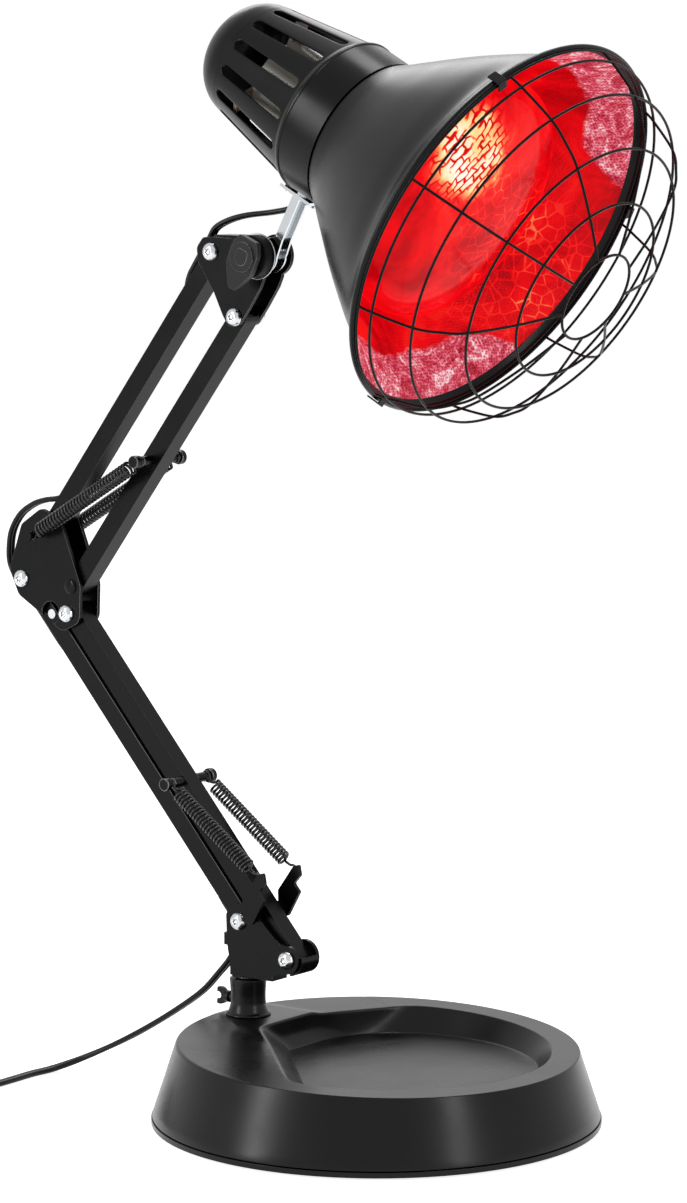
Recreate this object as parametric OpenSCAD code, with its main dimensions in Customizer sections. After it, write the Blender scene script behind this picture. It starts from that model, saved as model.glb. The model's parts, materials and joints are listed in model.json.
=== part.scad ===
// Swing arm heat lamp on a round weighted base. Millimetres; the origin is under the middle of the base.
// The arms lie in the plane y = 0, with +X from the post toward the lamp head.

/* [Base] */
// Diameter of the base where it stands
base_diameter = 220; // [190:1:264]
// Height of the rim of the base at its middle
rim_height = 38.2; // [34:0.1:46]
// Height of the floor of the round dish
dish_floor_height = 27; // [25:0.5:32]
// Sheet thickness of the base cover
base_wall = 2.4; // [1.6:0.1:3]
// Thickness of the cast ballast disc
weight_thickness = 14; // [8:0.5:18]
// Distance from the rim to the axis of the post
post_inset = 17.5; // [16:0.5:21]
// Diameter of the collar of the post
collar_diameter = 18.2; // [17:0.1:22]
// Height of the collar above the platform
collar_height = 18.7; // [16:0.1:22.4]
// Diameter of the turning spigot
spigot_diameter = 13; // [10.8:0.1:13.6]

/* [Arms] */
// Pivot distance of the two lower bars
lower_arm_length = 213.2; // [175:0.1:256]
// Angle of the lower bars from level
lower_arm_angle = 131.7; // [110:0.1:140]
// Pivot distance of the two upper bars
upper_arm_length = 176.2; // [146:0.1:212]
// Angle of the upper bars from level
upper_arm_angle = 52.4; // [35:0.1:70]
// Outside width of the square bars
bar_size = 10; // [8.5:0.1:11]
// Wall thickness of the square bars
bar_wall = 1; // [0.8:0.1:1.5]
// Thickness of the side plates
plate_thickness = 2; // [1.5:0.1:2.5]
// Room for a washer between bar and plate
plate_gap = 0.8; // [0.6:0.1:1.2]
// Diameter of the pivot bolts
bolt_diameter = 4; // [3.4:0.1:4.8]

/* [Springs] */
// Wire diameter of the balance springs
spring_wire = 1.2; // [1:0.05:1.4]
// Radius to the middle of the spring wire
spring_radius = 3.1; // [2.6:0.1:3.6]
// Number of curls on each spring
spring_curls = 15; // [12:1:16]
// Distance of the springs from the middle plane
spring_offset = 13.8; // [13.2:0.1:15]
// Diameter of the rods that hold the springs
rod_diameter = 3; // [2.5:0.1:3.6]

/* [Head] */
// Downward tilt of the lamp head
head_tilt = 28.2; // [20:0.1:40]
// Radius of the shade at its rim
shade_radius = 95.2; // [84:0.1:114.3]
// Thickness of the shade sheet
shade_wall = 1; // [0.8:0.1:1.4]
// Radius of the lamp housing at its open end
housing_radius = 39.3; // [36:0.1:44]
// Number of cooling slots round the housing
slot_count = 14; // [10:1:16]
// Width of a cooling slot
slot_width = 5.5; // [4:0.1:7]
// Greatest radius of the bulb
bulb_radius = 62; // [52:0.5:64]
// Wire diameter of the guard
guard_wire = 1.3; // [1.1:0.1:1.8]
// Number of ribs on the guard
guard_ribs = 9; // [6:1:12]

/* [Cord] */
// Width of the flat twin cord
cord_width = 5.2; // [4.4:0.1:5.6]
// Thickness of the flat twin cord
cord_thickness = 2.8; // [2.2:0.1:3]
// Turns in each of the two layers of the coil
coil_turns = 4; // [2:1:4]
// Distance between neighbouring turns of the coil
coil_pitch = 6; // [5.8:0.1:7]

/* [Fits] */
// Radial clearance of a pin that turns in a bore
run_fit = 0.06; // [0.03:0.01:0.1]
// Gap between parts that sit on each other
seat = 0.1; // [0.05:0.05:0.3]
// Radial clearance at the two pivots that close the linkage
open_fit = 0.3; // [0.2:0.05:0.4]

/* [Hidden] */
$fn = 48;

black_paint = [0.12, 0.12, 0.13];
bright_steel = [0.78, 0.79, 0.8];
black_rubber = [0.07, 0.07, 0.07];

// Base levels and radii
base_radius = base_diameter/2;
rim_radius = base_radius - 12.5;
rim_slope = atan(0.03);
side_slope = (base_radius - rim_radius)/rim_height;
plate_bottom = 1.2;
plate_top = 3.8;
shell_bottom = 4.3;
post_x = -(rim_radius - post_inset);
pad_top = rim_height + 3.6;
collar_top = pad_top + collar_height;
dish_x = 4;
dish_radius = rim_radius - 22.5;
dish_draft = 0.73;
chord_x = post_x + 22;
foot_radius = rim_radius - 17.5;
screw_circle = rim_radius - 4.5;
socket_radius = 8;
nut_height = 5;
turn_z = collar_top - 11.5;
big = 400;

// Linkage points as [x, z]
function polar(r, a) = [r*cos(a), r*sin(a)];
p1 = [post_x + 0.5, collar_top + 29.3];
p2 = p1 + polar(33.9, -27.4);
s1 = p1 + polar(lower_arm_length, lower_arm_angle);
s2 = p2 + polar(lower_arm_length, lower_arm_angle);
d1 = s1 + [32.8, -1.8];
h1 = s1 + [18.3, 29.2];
t1 = h1 + polar(upper_arm_length, upper_arm_angle);
t2 = d1 + polar(upper_arm_length, upper_arm_angle);
tilt = t1 + [29, -1.3];
rim_centre = tilt + [138.3, 15.1];
lower_rod = p2 + polar(106.3, lower_arm_angle) - polar(2.3, lower_arm_angle + 90);
upper_rod = d1 + polar(84.1, upper_arm_angle);
spur_tip = p1 + [19.5, 23.2];
spring_pin = h1 + [-5.5, -6];
half_bar = bar_size/2;
plate_in = half_bar + plate_gap;
plate_out = plate_in + plate_thickness;
bore = bolt_diameter + 2*run_fit;
open_bore = bolt_diameter + 2*open_fit;
head_height = 2.8;
nut_width = 7;

// Head measures: depth behind the rim is -z in the head frame
neck_depth = 87;
step_depth = 109;
taper_depth = 164;
top_depth = 184;
top_radius = 29.6;
neck_radius = housing_radius;
slot_start = 113;
slot_end = 160;
flange_x = housing_radius + 2.2;
tilt_local = [(tilt - rim_centre)*[-sin(head_tilt), -cos(head_tilt)], (tilt - rim_centre)*[cos(head_tilt), -sin(head_tilt)]];
stem_front = 107.8;
stem_back = 112.3;
leg_in = 2.8;
leg_out = 4;

// Shaping helpers
module plate_xz(y0, y1) translate([0, y1, 0]) rotate([90, 0, 0]) linear_extrude(y1 - y0) children();
module rod_y(p, d, y0, y1) translate([p.x, y0, p.y]) rotate([-90, 0, 0]) cylinder(d = d, h = y1 - y0);
module along(p, a) translate([p.x, 0, p.y]) rotate([0, -a, 0]) children();
module in_head() translate([rim_centre.x, 0, rim_centre.y]) rotate([0, 90 + head_tilt, 0]) children();
module both_sides() {
  children();
  mirror([0, 1, 0]) children();
}

// Corners [x, y, radius] of a closed outline turned into arcs
function corner(a, b, c, r) =
  let (u = (a - b)/norm(a - b), v = (c - b)/norm(c - b), w = acos(u*v), m = (u + v)/norm(u + v),
    o = b + m*r/sin(w/2), s = b + u*r/tan(w/2) - o, e = b + v*r/tan(w/2) - o,
    a0 = atan2(s.y, s.x), turn = (atan2(e.y, e.x) - a0 + 540) % 360 - 180)
  [for (i = [0:5]) o + polar(r, a0 + turn*i/5)];
function flat2(q) = [q.x, q.y];
function rounded(p) =
  let (n = len(p))
  [for (i = [0:n - 1]) each corner(flat2(p[(i + n - 1) % n]), flat2(p[i]), flat2(p[(i + 1) % n]), p[i].z)];

// A tube swept along points; wide lies along the half width of its oval section
function unit(v) = v/norm(v);
function heading(p, i) = unit(p[min(i + 1, len(p) - 1)] - p[max(i - 1, 0)]);
function square_to(v, t) = unit(v - (v*t)*t);
module swept(p, wide, a, b, sides) {
  n = len(p);
  pts = [for (i = [0:n - 1]) let (t = heading(p, i), w = square_to(wide[i], t), q = cross(t, w))
    for (k = [0:sides - 1]) p[i] + w*a*cos(360*k/sides) + q*b*sin(360*k/sides)];
  walls = [for (i = [0:n - 2]) for (k = [0:sides - 1])
    let (j = (k + 1) % sides, c0 = i*sides + k, c1 = i*sides + j, c2 = c1 + sides, c3 = c0 + sides)
    each [[c0, c2, c1], [c0, c3, c2]]];
  first = [for (k = [1:sides - 2]) [0, k, k + 1]];
  m = (n - 1)*sides;
  last = [for (k = [1:sides - 2]) [m, m + k + 1, m + k]];
  polyhedron(points = pts, faces = concat(walls, first, last));
}

// Smooth points through given ones, steps to each stretch
function curve_at(a, b, c, d, t) =
  0.5*((2*b) + (c - a)*t + (2*a - 5*b + 4*c - d)*t*t + (3*b - a - 3*c + d)*t*t*t);
function smooth(p, steps) =
  let (n = len(p))
  concat([for (i = [0:n - 2]) for (k = [0:steps - 1])
    curve_at(p[max(i - 1, 0)], p[i], p[i + 1], p[min(i + 2, n - 1)], k/steps)], [p[n - 1]]);
function level_wide(p) = [for (i = [0:len(p) - 1]) cross(heading(p, i), [0, 0, 1])];
function side_wide(p) = [for (q = p) [0, 1, 0]];
module flat_cord(p, wide, sides = 10) swept(p, wide, cord_width/2, cord_thickness/2, sides);
module held_cord(p) {
  q = smooth(p, 3);
  flat_cord(q, side_wide(q));
}

// Points of a bar frame [along, outward] as world points
function on_bar(p, a, q) = let (w = p + polar(q.x, a) + polar(q.y, a + 90)) [w.x, 0, w.y];

// Square bar with round ends, bores at both pivots and room for the cord
module bar_blank(p, a, length) {
  inner = half_bar - bar_wall;
  along(p, a) {
    difference() {
      union() {
        translate([0, -half_bar, -half_bar]) cube([length, bar_size, bar_size]);
        for (x = [0, length]) translate([x, half_bar, 0]) rotate([90, 0, 0]) cylinder(d = bar_size, h = bar_size);
      }
      translate([-half_bar - 1, -inner, -inner]) cube([length + bar_size + 2, 2*inner, 2*inner]);
    }
    for (x = [0, length]) translate([x, inner + 0.2, 0]) rotate([90, 0, 0]) cylinder(d = 7, h = 2*inner + 0.4);
  }
}
module bar_bore(p, a, x, d) along(p, a) translate([x, half_bar + 1, 0]) rotate([90, 0, 0]) cylinder(d = d, h = bar_size + 2);
module bar_slot(p, a, x0, x1) along(p, a) translate([x0, -3.1, half_bar - bar_wall - 0.5]) cube([x1 - x0, 6.2, bar_wall + 1]);

// Fasteners along Y
module pan_bolt(p) {
  rod_y(p, bolt_diameter, -plate_out - seat - 0.5, plate_out + 5.2);
  rod_y(p, 9, -plate_out - seat - 1.7, -plate_out - seat);
  translate([p.x, -plate_out - seat - 1.7, p.y]) rotate([90, 0, 0]) cylinder(d1 = 9, d2 = 6.4, h = head_height - 1.7);
}
module lock_nut(p) {
  difference() {
    translate([p.x, plate_out + seat, p.y]) rotate([-90, 0, 0]) union() {
      cylinder(d = nut_width/cos(30), h = 3.2, $fn = 6);
      translate([0, 0, 3.2]) cylinder(d = 6.4, h = 1.3);
    }
    rod_y(p, bore, plate_out - 1, plate_out + 6);
  }
}
module gap_washers(p, d) {
  both_sides() difference() {
    rod_y(p, 9, half_bar + 0.05, plate_in - 0.05);
    rod_y(p, d, half_bar - 1, plate_in + 1);
  }
}

// Balance spring from point a to point b: straight ends on the axis and one unbroken wire
function spring_points(a, b, y, lead) =
  let (axis = unit([b.x - a.x, 0, b.y - a.y]), up = [0, 1, 0], side = cross(axis, up),
    span = norm(b - a) - 2*lead, rise = span/(spring_curls + 1), start = [a.x, y, a.y])
  concat([start, start + axis*spring_wire],
    [for (i = [0:8*(spring_curls + 1)])
      let (t = i/8, r = spring_radius*min(1, t/0.5, (spring_curls + 1 - t)/0.5), w = 360*t)
      start + axis*(lead + rise*t) + r*(up*cos(w) + side*sin(w))],
    [start + axis*(span + 2*lead - spring_wire), start + axis*(span + 2*lead)]);
function spring_wide(a, b) =
  let (axis = unit([b.x - a.x, 0, b.y - a.y]), up = [0, 1, 0], side = cross(axis, up))
  concat([up, up], [for (i = [0:8*(spring_curls + 1)]) up*cos(45*i) + side*sin(45*i)], [up, up]);
module spring(a, b, y, lead) swept(spring_points(a, b, y, lead), spring_wide(a, b), spring_wire/2, spring_wire/2, 6);
function far_min(p) =
  min([for (i = [0:len(p) - 9]) for (j = [i + 5:min(i + 12, len(p) - 1)]) norm(p[i] - p[j])]) - spring_wire;
lower_a = spur_tip + unit(lower_rod - spur_tip)*4.2;
lower_b = lower_rod - unit(lower_rod - spur_tip)*(rod_diameter/2 + 0.05);
upper_a = spring_pin + unit(upper_rod - spring_pin)*(rod_diameter/2 + 0.05);
upper_b = upper_rod - unit(upper_rod - spring_pin)*(rod_diameter/2 + 0.05);
lower_lead = 5;
upper_lead = 4.5;
echo(lower_spring_gap = far_min(spring_points(lower_a, lower_b, spring_offset, lower_lead)));
echo(upper_spring_gap = far_min(spring_points(upper_a, upper_b, spring_offset, upper_lead)));

// Base bodies
module base_solid(inset) {
  z0 = inset > 0 ? shell_bottom - 1 : shell_bottom;
  r0 = base_radius - side_slope*z0 - inset;
  difference() {
    translate([0, 0, z0]) cylinder(h = 60, r1 = r0, r2 = r0 - side_slope*60, $fn = 128);
    translate([0, 0, rim_height - inset]) rotate([0, rim_slope, 0]) translate([-big/2, -big/2, 0]) cube([big, big, 90]);
  }
}
module half_space(turn, d, draft) {
  rotate([0, 0, turn]) translate([-d, 0, dish_floor_height]) rotate([0, -draft, 0])
    translate([0, -big/2, -big]) cube([big, big, 2*big]);
}
module dish_solid(grow) {
  intersection() {
    translate([dish_x, 0, dish_floor_height - grow])
      cylinder(h = 40, r1 = dish_radius + grow, r2 = dish_radius + grow + 40*dish_draft, $fn = 128);
    translate([chord_x - grow, -big/2, 0]) cube([big, big, 100]);
    half_space(0, -chord_x - 4.5 + grow, 45);
    half_space(45, 38.9 + (post_x + 80)*-0.7 + grow, 46);
    half_space(-27.2, 65.3 + (post_x + 80)*-0.89 + grow, 0);
  }
}
module platform() {
  hull() {
    translate([post_x, 0, pad_top - 0.1]) linear_extrude(0.1)
      polygon(rounded([[-13.5, -8, 3], [-6, -17, 6], [8, -21, 8], [35, -24, 1], [35, 24, 1], [-8, 24, 5], [-14, 12, 5]]));
    translate([post_x, 0, rim_height - 4]) linear_extrude(0.1)
      polygon(rounded([[-18, -13, 3], [-10, -27, 8], [8, -40, 10], [30, -48, 4], [48, -48, 1], [48, 44, 1], [10, 44, 4], [-10, 34, 8], [-17, 16, 5]]));
  }
}
module bosses(d, z0, z1) for (a = [45:90:315]) rotate([0, 0, a]) translate([screw_circle, 0, z0]) cylinder(d = d, h = z1 - z0);

module base_shell() color(black_paint) difference() {
  union() {
    difference() {
      union() {
        base_solid(0);
        intersection() {
          platform();
          translate([0, 0, rim_height - 6]) cylinder(h = 12, r = rim_radius - 0.6, $fn = 128);
        }
      }
      difference() {
        base_solid(base_wall);
        dish_solid(base_wall);
      }
    }
    bosses(8, shell_bottom, rim_height - 5);
  }
  dish_solid(0);
  bosses(3, 0, 18);
  translate([post_x, 0, 20]) cylinder(r = socket_radius + 0.1, h = 40);
}
module base_weight() color([0.3, 0.3, 0.31]) difference() {
  translate([0, 0, plate_top + seat]) cylinder(r = rim_radius - 11.5, h = weight_thickness, $fn = 96);
  translate([post_x, 0, 0]) cylinder(r = 16, h = 60);
}
module base_plate() color(black_paint) difference() {
  translate([0, 0, plate_bottom]) cylinder(r = base_radius - 1, h = plate_top - plate_bottom, $fn = 128);
  bosses(3.3, 0, 10);
  for (a = [45:90:315]) rotate([0, 0, a]) translate([screw_circle, 0, plate_bottom - 0.01]) cylinder(d1 = 6.6, d2 = 3.2, h = 1.7);
  for (a = [0:90:270]) rotate([0, 0, a]) translate([foot_radius, 0, 0]) cylinder(d = 16.2, h = plate_bottom + 0.8);
  cylinder(d = 40.2, h = plate_bottom + 0.8);
}
module foot(d) {
  cylinder(d1 = d - 1, d2 = d, h = 0.6);
  translate([0, 0, 0.6]) cylinder(d = d, h = plate_bottom + 0.1);
}
module base_feet() color(black_rubber) {
  for (a = [0:90:270]) rotate([0, 0, a]) translate([foot_radius, 0, 0]) foot(16);
  foot(40);
}
module base_screws() color(bright_steel)
  for (a = [45:90:315]) rotate([0, 0, a]) translate([screw_circle, 0, plate_bottom + 0.1]) {
    cylinder(d1 = 6.2, d2 = 2.9, h = 1.6);
    translate([0, 0, 1.5]) cylinder(d = 2.9, h = 12);
  }
module post_socket() color(black_paint) translate([post_x, 0, 0]) difference() {
  union() {
    translate([0, 0, rim_height - 8]) cylinder(r = socket_radius, h = 14);
    translate([0, 0, pad_top + 0.02]) cylinder(r = 11, h = 1.4);
    translate([0, 0, pad_top + 1.4]) cylinder(r1 = 10.4, r2 = collar_diameter/2, h = 2.6);
    translate([0, 0, pad_top + 4]) cylinder(d = collar_diameter, h = collar_top - pad_top - 4.6);
    translate([0, 0, collar_top - 0.6]) cylinder(d1 = collar_diameter, d2 = collar_diameter - 1, h = 0.6);
  }
  translate([0, 0, rim_height - 6]) cylinder(r = spigot_diameter/2 + run_fit, h = 60);
  translate([0, 0, turn_z]) rotate([0, -90, 0]) cylinder(d = 4 + 2*run_fit, h = 20);
}
module socket_nut() color(bright_steel) translate([post_x, 0, rim_height - 0.9 - nut_height]) difference() {
  cylinder(d = 22/cos(30), h = nut_height, $fn = 6);
  translate([0, 0, -1]) cylinder(r = socket_radius + 0.05, h = nut_height + 2);
}

// Thumb screw that holds the swivel, axis along -X
module thumb_screw() color(black_paint) translate([post_x, 0, turn_z]) rotate([0, -90, 0]) {
  translate([0, 0, spigot_diameter/2 - 0.7]) cylinder(d = 4, h = 7);
  translate([0, 0, 11.6]) cylinder(d = 5.6, h = 3);
  translate([0, 0, 14.4]) rotate([90, 0, 0]) translate([0, 0, -1]) linear_extrude(2) difference() {
    union() {
      translate([3.1, 1.2]) circle(d = 4.8);
      translate([-3.1, 1.2]) circle(d = 4.8);
      translate([-2.8, -2]) square([5.6, 3]);
    }
    translate([0, 3.6]) circle(d = 3.4);
  }
}

// Swivel
block_left = -7;
block_right = 20;
module swivel_post() color(black_paint) translate([post_x, 0, 0]) {
  difference() {
    translate([0, 0, rim_height - 5.6]) cylinder(d = spigot_diameter, h = collar_top - rim_height + 6.3);
    translate([0, 0, turn_z - 2.5]) difference() {
      cylinder(d = spigot_diameter + 2, h = 5);
      cylinder(d = spigot_diameter - 1.6, h = 5);
    }
  }
  translate([0, 0, collar_top]) cylinder(r = plate_in - 0.1, h = 3);
  translate([block_left, -plate_in + 0.02, collar_top + 1.2]) cube([block_right - block_left, 2*plate_in - 0.04, 10]);
}
bracket_outline = [[-8.2, 3, 3], [-7.7, -11.4, 20], [-4.7, -28.3, 1.5], [32.5, -22.6, 4], [33, -9.2, 4], [26.2, -8.5, 6],
  [20.6, -4.2, 10], [12, 3.6, 12], [3.7, 9.1, 1.5], [-3.5, 8.6, 5]];
module bracket_side(y0, y1, lobe) {
  plate_xz(y0, y1) translate(p1) polygon(rounded(bracket_outline));
  rod_y(p2, lobe, y0, y1);
}
spur_outline = [[8.4, 1.6, 1], [14, 0.8, 1.5], [21.5, 13.9, 1], [18, 17.7, 1], [22, 22.2, 1], [20.9, 27.7, 1], [17.5, 26.2, 1.2], [8, 13.4, 1.5]];
spur_web = [[8.8, 2.4], [12, 1.2], [12.8, 4.2], [9.8, 8.6], [8.4, 7]];
module lower_bracket() color(black_paint) difference() {
  union() {
    bracket_side(-plate_out, -plate_in, 14);
    bracket_side(plate_in, plate_out, 16.4);
    difference() {
      rod_y(p2, 16.4, -plate_in - 0.2, plate_in + 0.2);
      rod_y(p2, 12.8, -big, big);
      translate([p2.x - 20, -big/2, p2.y - 20]) cube([20.5, big, 40]);
      translate([p2.x - 20, -big/2, p2.y + 1.6]) cube([40, big, 20]);
    }
    both_sides() {
      plate_xz(spring_offset - 1, spring_offset + 1) translate(p1) polygon(rounded(spur_outline));
      plate_xz(plate_in, spring_offset + 1) translate(p1) polygon(spur_web);
    }
  }
  rod_y(p1, bore, -big, big);
  rod_y(p2, bore, -big, big);
}
module lower_bolts() color(bright_steel) {
  pan_bolt(p1);
  pan_bolt(p2);
}
module lower_nuts() color(bright_steel) {
  lock_nut(p1);
  lock_nut(p2);
}
module lower_washers() color(bright_steel) {
  gap_washers(p1, bore);
  gap_washers(p2, bore);
}
clip_low = p1.y - 13.5;
clip_high = p1.y - 7;
cord_x = p1.x - 8.8;
module cord_clip() color(black_paint) difference() {
  translate([cord_x - 2.6, -plate_in + 0.02, clip_low]) cube([5.4, 2*plate_in - 0.04, clip_high - clip_low]);
  translate([cord_x - cord_thickness/2 - 0.05, -cord_width/2 - 0.05, clip_low - 1]) cube([cord_thickness + 0.1, cord_width + 0.1, 12]);
}

// Cord paths on the bars as [along, outward]
run_low = [[9, 6.6], [15, 6.55], [20, 5.9], [25, 3.6], [30, 1.4], [36, 0.5], [50, 0.2]];
function run_high(l) = [[l - 66, 0.2], [l - 58, 0.6], [l - 52, 1.6], [l - 47, 3.8], [l - 42, 6], [l - 36, 6.55], [l - 20, 6.6], [l - 4, 6.6]];
module cord_lower_run() color(black_rubber)
  held_cord([for (q = concat(run_low, run_high(lower_arm_length))) on_bar(p1, lower_arm_angle, q)]);
upper_low = [[7.5, 9.2], [11.5, 5.9], [15.5, 2.9], [20, 0.8], [27, 0.1]];
function upper_high(l) = [[l - 46, 0.1], [l - 38, 0.6], [l - 33, 2], [l - 28.5, 4.6], [l - 24, 7], [l - 19.8, 8.1]];
module cord_upper_run() color(black_rubber)
  held_cord([for (q = concat(upper_low, upper_high(upper_arm_length))) on_bar(h1, upper_arm_angle, q)]);
lower_start = on_bar(p1, lower_arm_angle, [8.7, 6.6]);
module lower_cord_loop() color(black_rubber)
  held_cord([lower_start, on_bar(p1, lower_arm_angle, [5.2, 6.9]), [cord_x, 0, p1.y - 4.6], [cord_x, 0, p1.y - 9], [cord_x, 0, clip_low - 0.5]]);
module elbow_cord_loop() color(black_rubber)
  held_cord([on_bar(h1, upper_arm_angle, [7.1, 9.55]), [h1.x - 7.5, 0, h1.y + 11], [h1.x - 16, 0, h1.y + 8.4],
    [h1.x - 25, 0, h1.y + 2.8], [h1.x - 31, 0, h1.y - 5.5], [h1.x - 33, 0, h1.y - 14], [h1.x - 32.6, 0, h1.y - 23],
    [s1.x - 9.6, 0, s1.y - 1.5], on_bar(p1, lower_arm_angle, [lower_arm_length, 6.8]),
    on_bar(p1, lower_arm_angle, [lower_arm_length - 3.9, 6.6])]);
module head_cord_loop() color(black_rubber)
  held_cord([on_bar(h1, upper_arm_angle, [upper_arm_length - 19.2, 8.25]), on_bar(h1, upper_arm_angle, [upper_arm_length - 10, 8.6]),
    [t1.x - 6.6, 0, t1.y + 6.2], [t1.x - 3, 0.4, t1.y + 11.4], [t1.x + 4.2, 2, t1.y + 15.2], [t1.x + 13, 4.6, t1.y + 17.6],
    [t1.x + 25.5, 8, t1.y + 19.2], [t1.x + 37, 9.5, t1.y + 21.4], [t1.x + 43.6, 9.5, t1.y + 24.6], [t1.x + 46.4, 9.5, t1.y + 27.8]]);

// Bars
module lower_rear_tube() color(black_paint) difference() {
  bar_blank(p1, lower_arm_angle, lower_arm_length);
  bar_bore(p1, lower_arm_angle, 0, bore);
  bar_bore(p1, lower_arm_angle, lower_arm_length, bore);
  bar_slot(p1, lower_arm_angle, 15.5, 31);
  bar_slot(p1, lower_arm_angle, lower_arm_length - 54, lower_arm_length - 36.5);
}
screw_at = p1 + polar(lower_arm_length - 24.7, lower_arm_angle) - polar(2.1, lower_arm_angle + 90);
module tube_screw() color(bright_steel) rod_y(screw_at, 4.8, -half_bar - 0.7, -half_bar - 0.05);
module lower_front_tube() color(black_paint) difference() {
  bar_blank(p2, lower_arm_angle, lower_arm_length);
  bar_bore(p2, lower_arm_angle, 0, bore);
  bar_bore(p2, lower_arm_angle, lower_arm_length, open_bore);
  rod_y(lower_rod, rod_diameter + 0.1, -20, 20);
}
module spring_rod(p) rod_y(p, rod_diameter, -17.6, 17.6);
module rod_clips(p) {
  for (s = [-1, 1]) {
    d = s < 0 ? 6.4 : 7.4;
    difference() {
      union() {
        rod_y(p, 5, s < 0 ? -12.3 : half_bar + 0.1, s < 0 ? -half_bar - 0.1 : 12.3);
        rod_y(p, d, s < 0 ? -18.6 : 15.4, s < 0 ? -15.4 : 18.6);
      }
      rod_y(p, rod_diameter + 0.1, -17.7, 17.7);
    }
  }
}
module lower_spring_rod() color(bright_steel) spring_rod(lower_rod);
module lower_rod_clips() color(black_paint) rod_clips(lower_rod);
module lower_springs() color([0.25, 0.25, 0.26]) both_sides() spring(lower_a, lower_b, spring_offset, lower_lead);

// Elbow
elbow_outline = [[-8.6, 4, 7], [-0.2, 27.8, 5], [13.3, 36.7, 5], [25.8, 32.2, 5], [39.3, -0.8, 8], [38.6, -19.6, 6], [27.1, -25.1, 6], [-2.5, -8.5, 6]];
module elbow_side(y0, y1) difference() {
  plate_xz(y0, y1) translate(s1) polygon(rounded(elbow_outline));
  rod_y(s1, bore, -big, big);
  rod_y(s2, bore, -big, big);
  rod_y(h1, bolt_diameter + 0.1, -big, big);
  rod_y(d1, bolt_diameter + 0.1, -big, big);
  rod_y(spring_pin, rod_diameter + 0.1, -big, big);
}
module elbow_front_plate() color(black_paint) difference() {
  elbow_side(-plate_out, -plate_in);
  rod_y(screw_at + [1.2, 1], 11.6, -big, 0);
}
module elbow_rear_plate() color(black_paint) elbow_side(plate_in, plate_out);
module elbow_bolts() color(bright_steel) {
  pan_bolt(s1);
  pan_bolt(s2);
}
module elbow_nuts() color(bright_steel) {
  lock_nut(s1);
  lock_nut(s2);
}
module rivet(p) {
  rod_y(p, bolt_diameter, -plate_out - 0.1, plate_out + 0.1);
  rod_y(p, 7.6, -plate_out - 0.9, -plate_out - 0.05);
  rod_y(p, 7.6, plate_out + 0.05, plate_out + 0.9);
}
module elbow_rivets() color(black_paint) {
  rivet(h1);
  rivet(d1);
}
module elbow_washers() color(bright_steel) {
  gap_washers(s1, bore);
  gap_washers(s2, bore);
  gap_washers(h1, bore);
  gap_washers(d1, bore);
}
module elbow_spring_pin() color(bright_steel) {
  rod_y(spring_pin, rod_diameter, -16.6, 16.6);
  rod_y(spring_pin, 5, -17.6, -16.4);
  rod_y(spring_pin, 5, 16.4, 17.6);
}

// Upper bars
module upper_rear_tube() color(black_paint) difference() {
  bar_blank(h1, upper_arm_angle, upper_arm_length);
  bar_bore(h1, upper_arm_angle, 0, bore);
  bar_bore(h1, upper_arm_angle, upper_arm_length, bore);
  bar_slot(h1, upper_arm_angle, 8.2, 20.6);
  bar_slot(h1, upper_arm_angle, upper_arm_length - 36.5, upper_arm_length - 22.5);
}
module upper_front_tube() color(black_paint) difference() {
  bar_blank(d1, upper_arm_angle, upper_arm_length);
  bar_bore(d1, upper_arm_angle, 0, bore);
  bar_bore(d1, upper_arm_angle, upper_arm_length, open_bore);
  rod_y(upper_rod, rod_diameter + 0.1, -20, 20);
}
module upper_spring_rod() color(bright_steel) spring_rod(upper_rod);
module upper_rod_clips() color(black_paint) rod_clips(upper_rod);
module upper_springs() color([0.25, 0.25, 0.26]) both_sides() spring(upper_a, upper_b, spring_offset, upper_lead);

// Head bracket, outline round the tilt axis
bracket_edge = [[-34.1, 8.3, 3], [-38.2, 3.3, 4], [-37.3, -3.9, 5], [-27.9, -17.2, 20], [-22, -29.1, 6], [-18.6, -34.2, 3], [-12.3, -34.5, 4],
  [-5.2, -25.2, 10], [1.6, -15.3, 6], [4.5, -9, 3], [-9, 7.5, 4], [-26.5, 8.5, 1]];
web_low = t1.y + 6.8;
module head_bracket() color(black_paint) difference() {
  union() {
    both_sides() {
      plate_xz(plate_in, plate_out) translate(tilt) polygon(rounded(bracket_edge));
      rod_y(tilt, 20, plate_in, plate_out);
    }
    translate([tilt.x - 28.5, -plate_in - 0.2, web_low]) cube([17, 2*plate_in + 0.4, 1.4]);
  }
  rod_y(t1, bore, -big, big);
  rod_y(t2, bore, -big, big);
  rod_y(tilt, tilt_bolt_diameter + 0.1, -big, big);
}
tilt_bolt_diameter = 5;
disc_front = -14.2;
module head_bolts() color(bright_steel) {
  pan_bolt(t1);
  pan_bolt(t2);
}
module head_nuts() color(bright_steel) {
  lock_nut(t1);
  lock_nut(t2);
}
module head_washers() color(bright_steel) {
  gap_washers(t1, bore);
  gap_washers(t2, bore);
}
module friction_disc() color(black_rubber) difference() {
  rod_y(tilt, 20.6, disc_front, -plate_out - 0.7);
  rod_y(tilt, tilt_bolt_diameter + 0.1, -big, big);
}
module disc_washer() color(bright_steel) difference() {
  rod_y(tilt, 22.4, -plate_out - 0.6, -plate_out - 0.1);
  rod_y(tilt, tilt_bolt_diameter + 0.1, -big, big);
}
module tilt_bolt() color(bright_steel) {
  rod_y(tilt, tilt_bolt_diameter, -19.6, plate_out + 0.5);
  translate([tilt.x, plate_out + seat, tilt.y]) rotate([-90, 0, 0]) cylinder(d = 8/cos(30), h = 3.6, $fn = 6);
}
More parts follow.
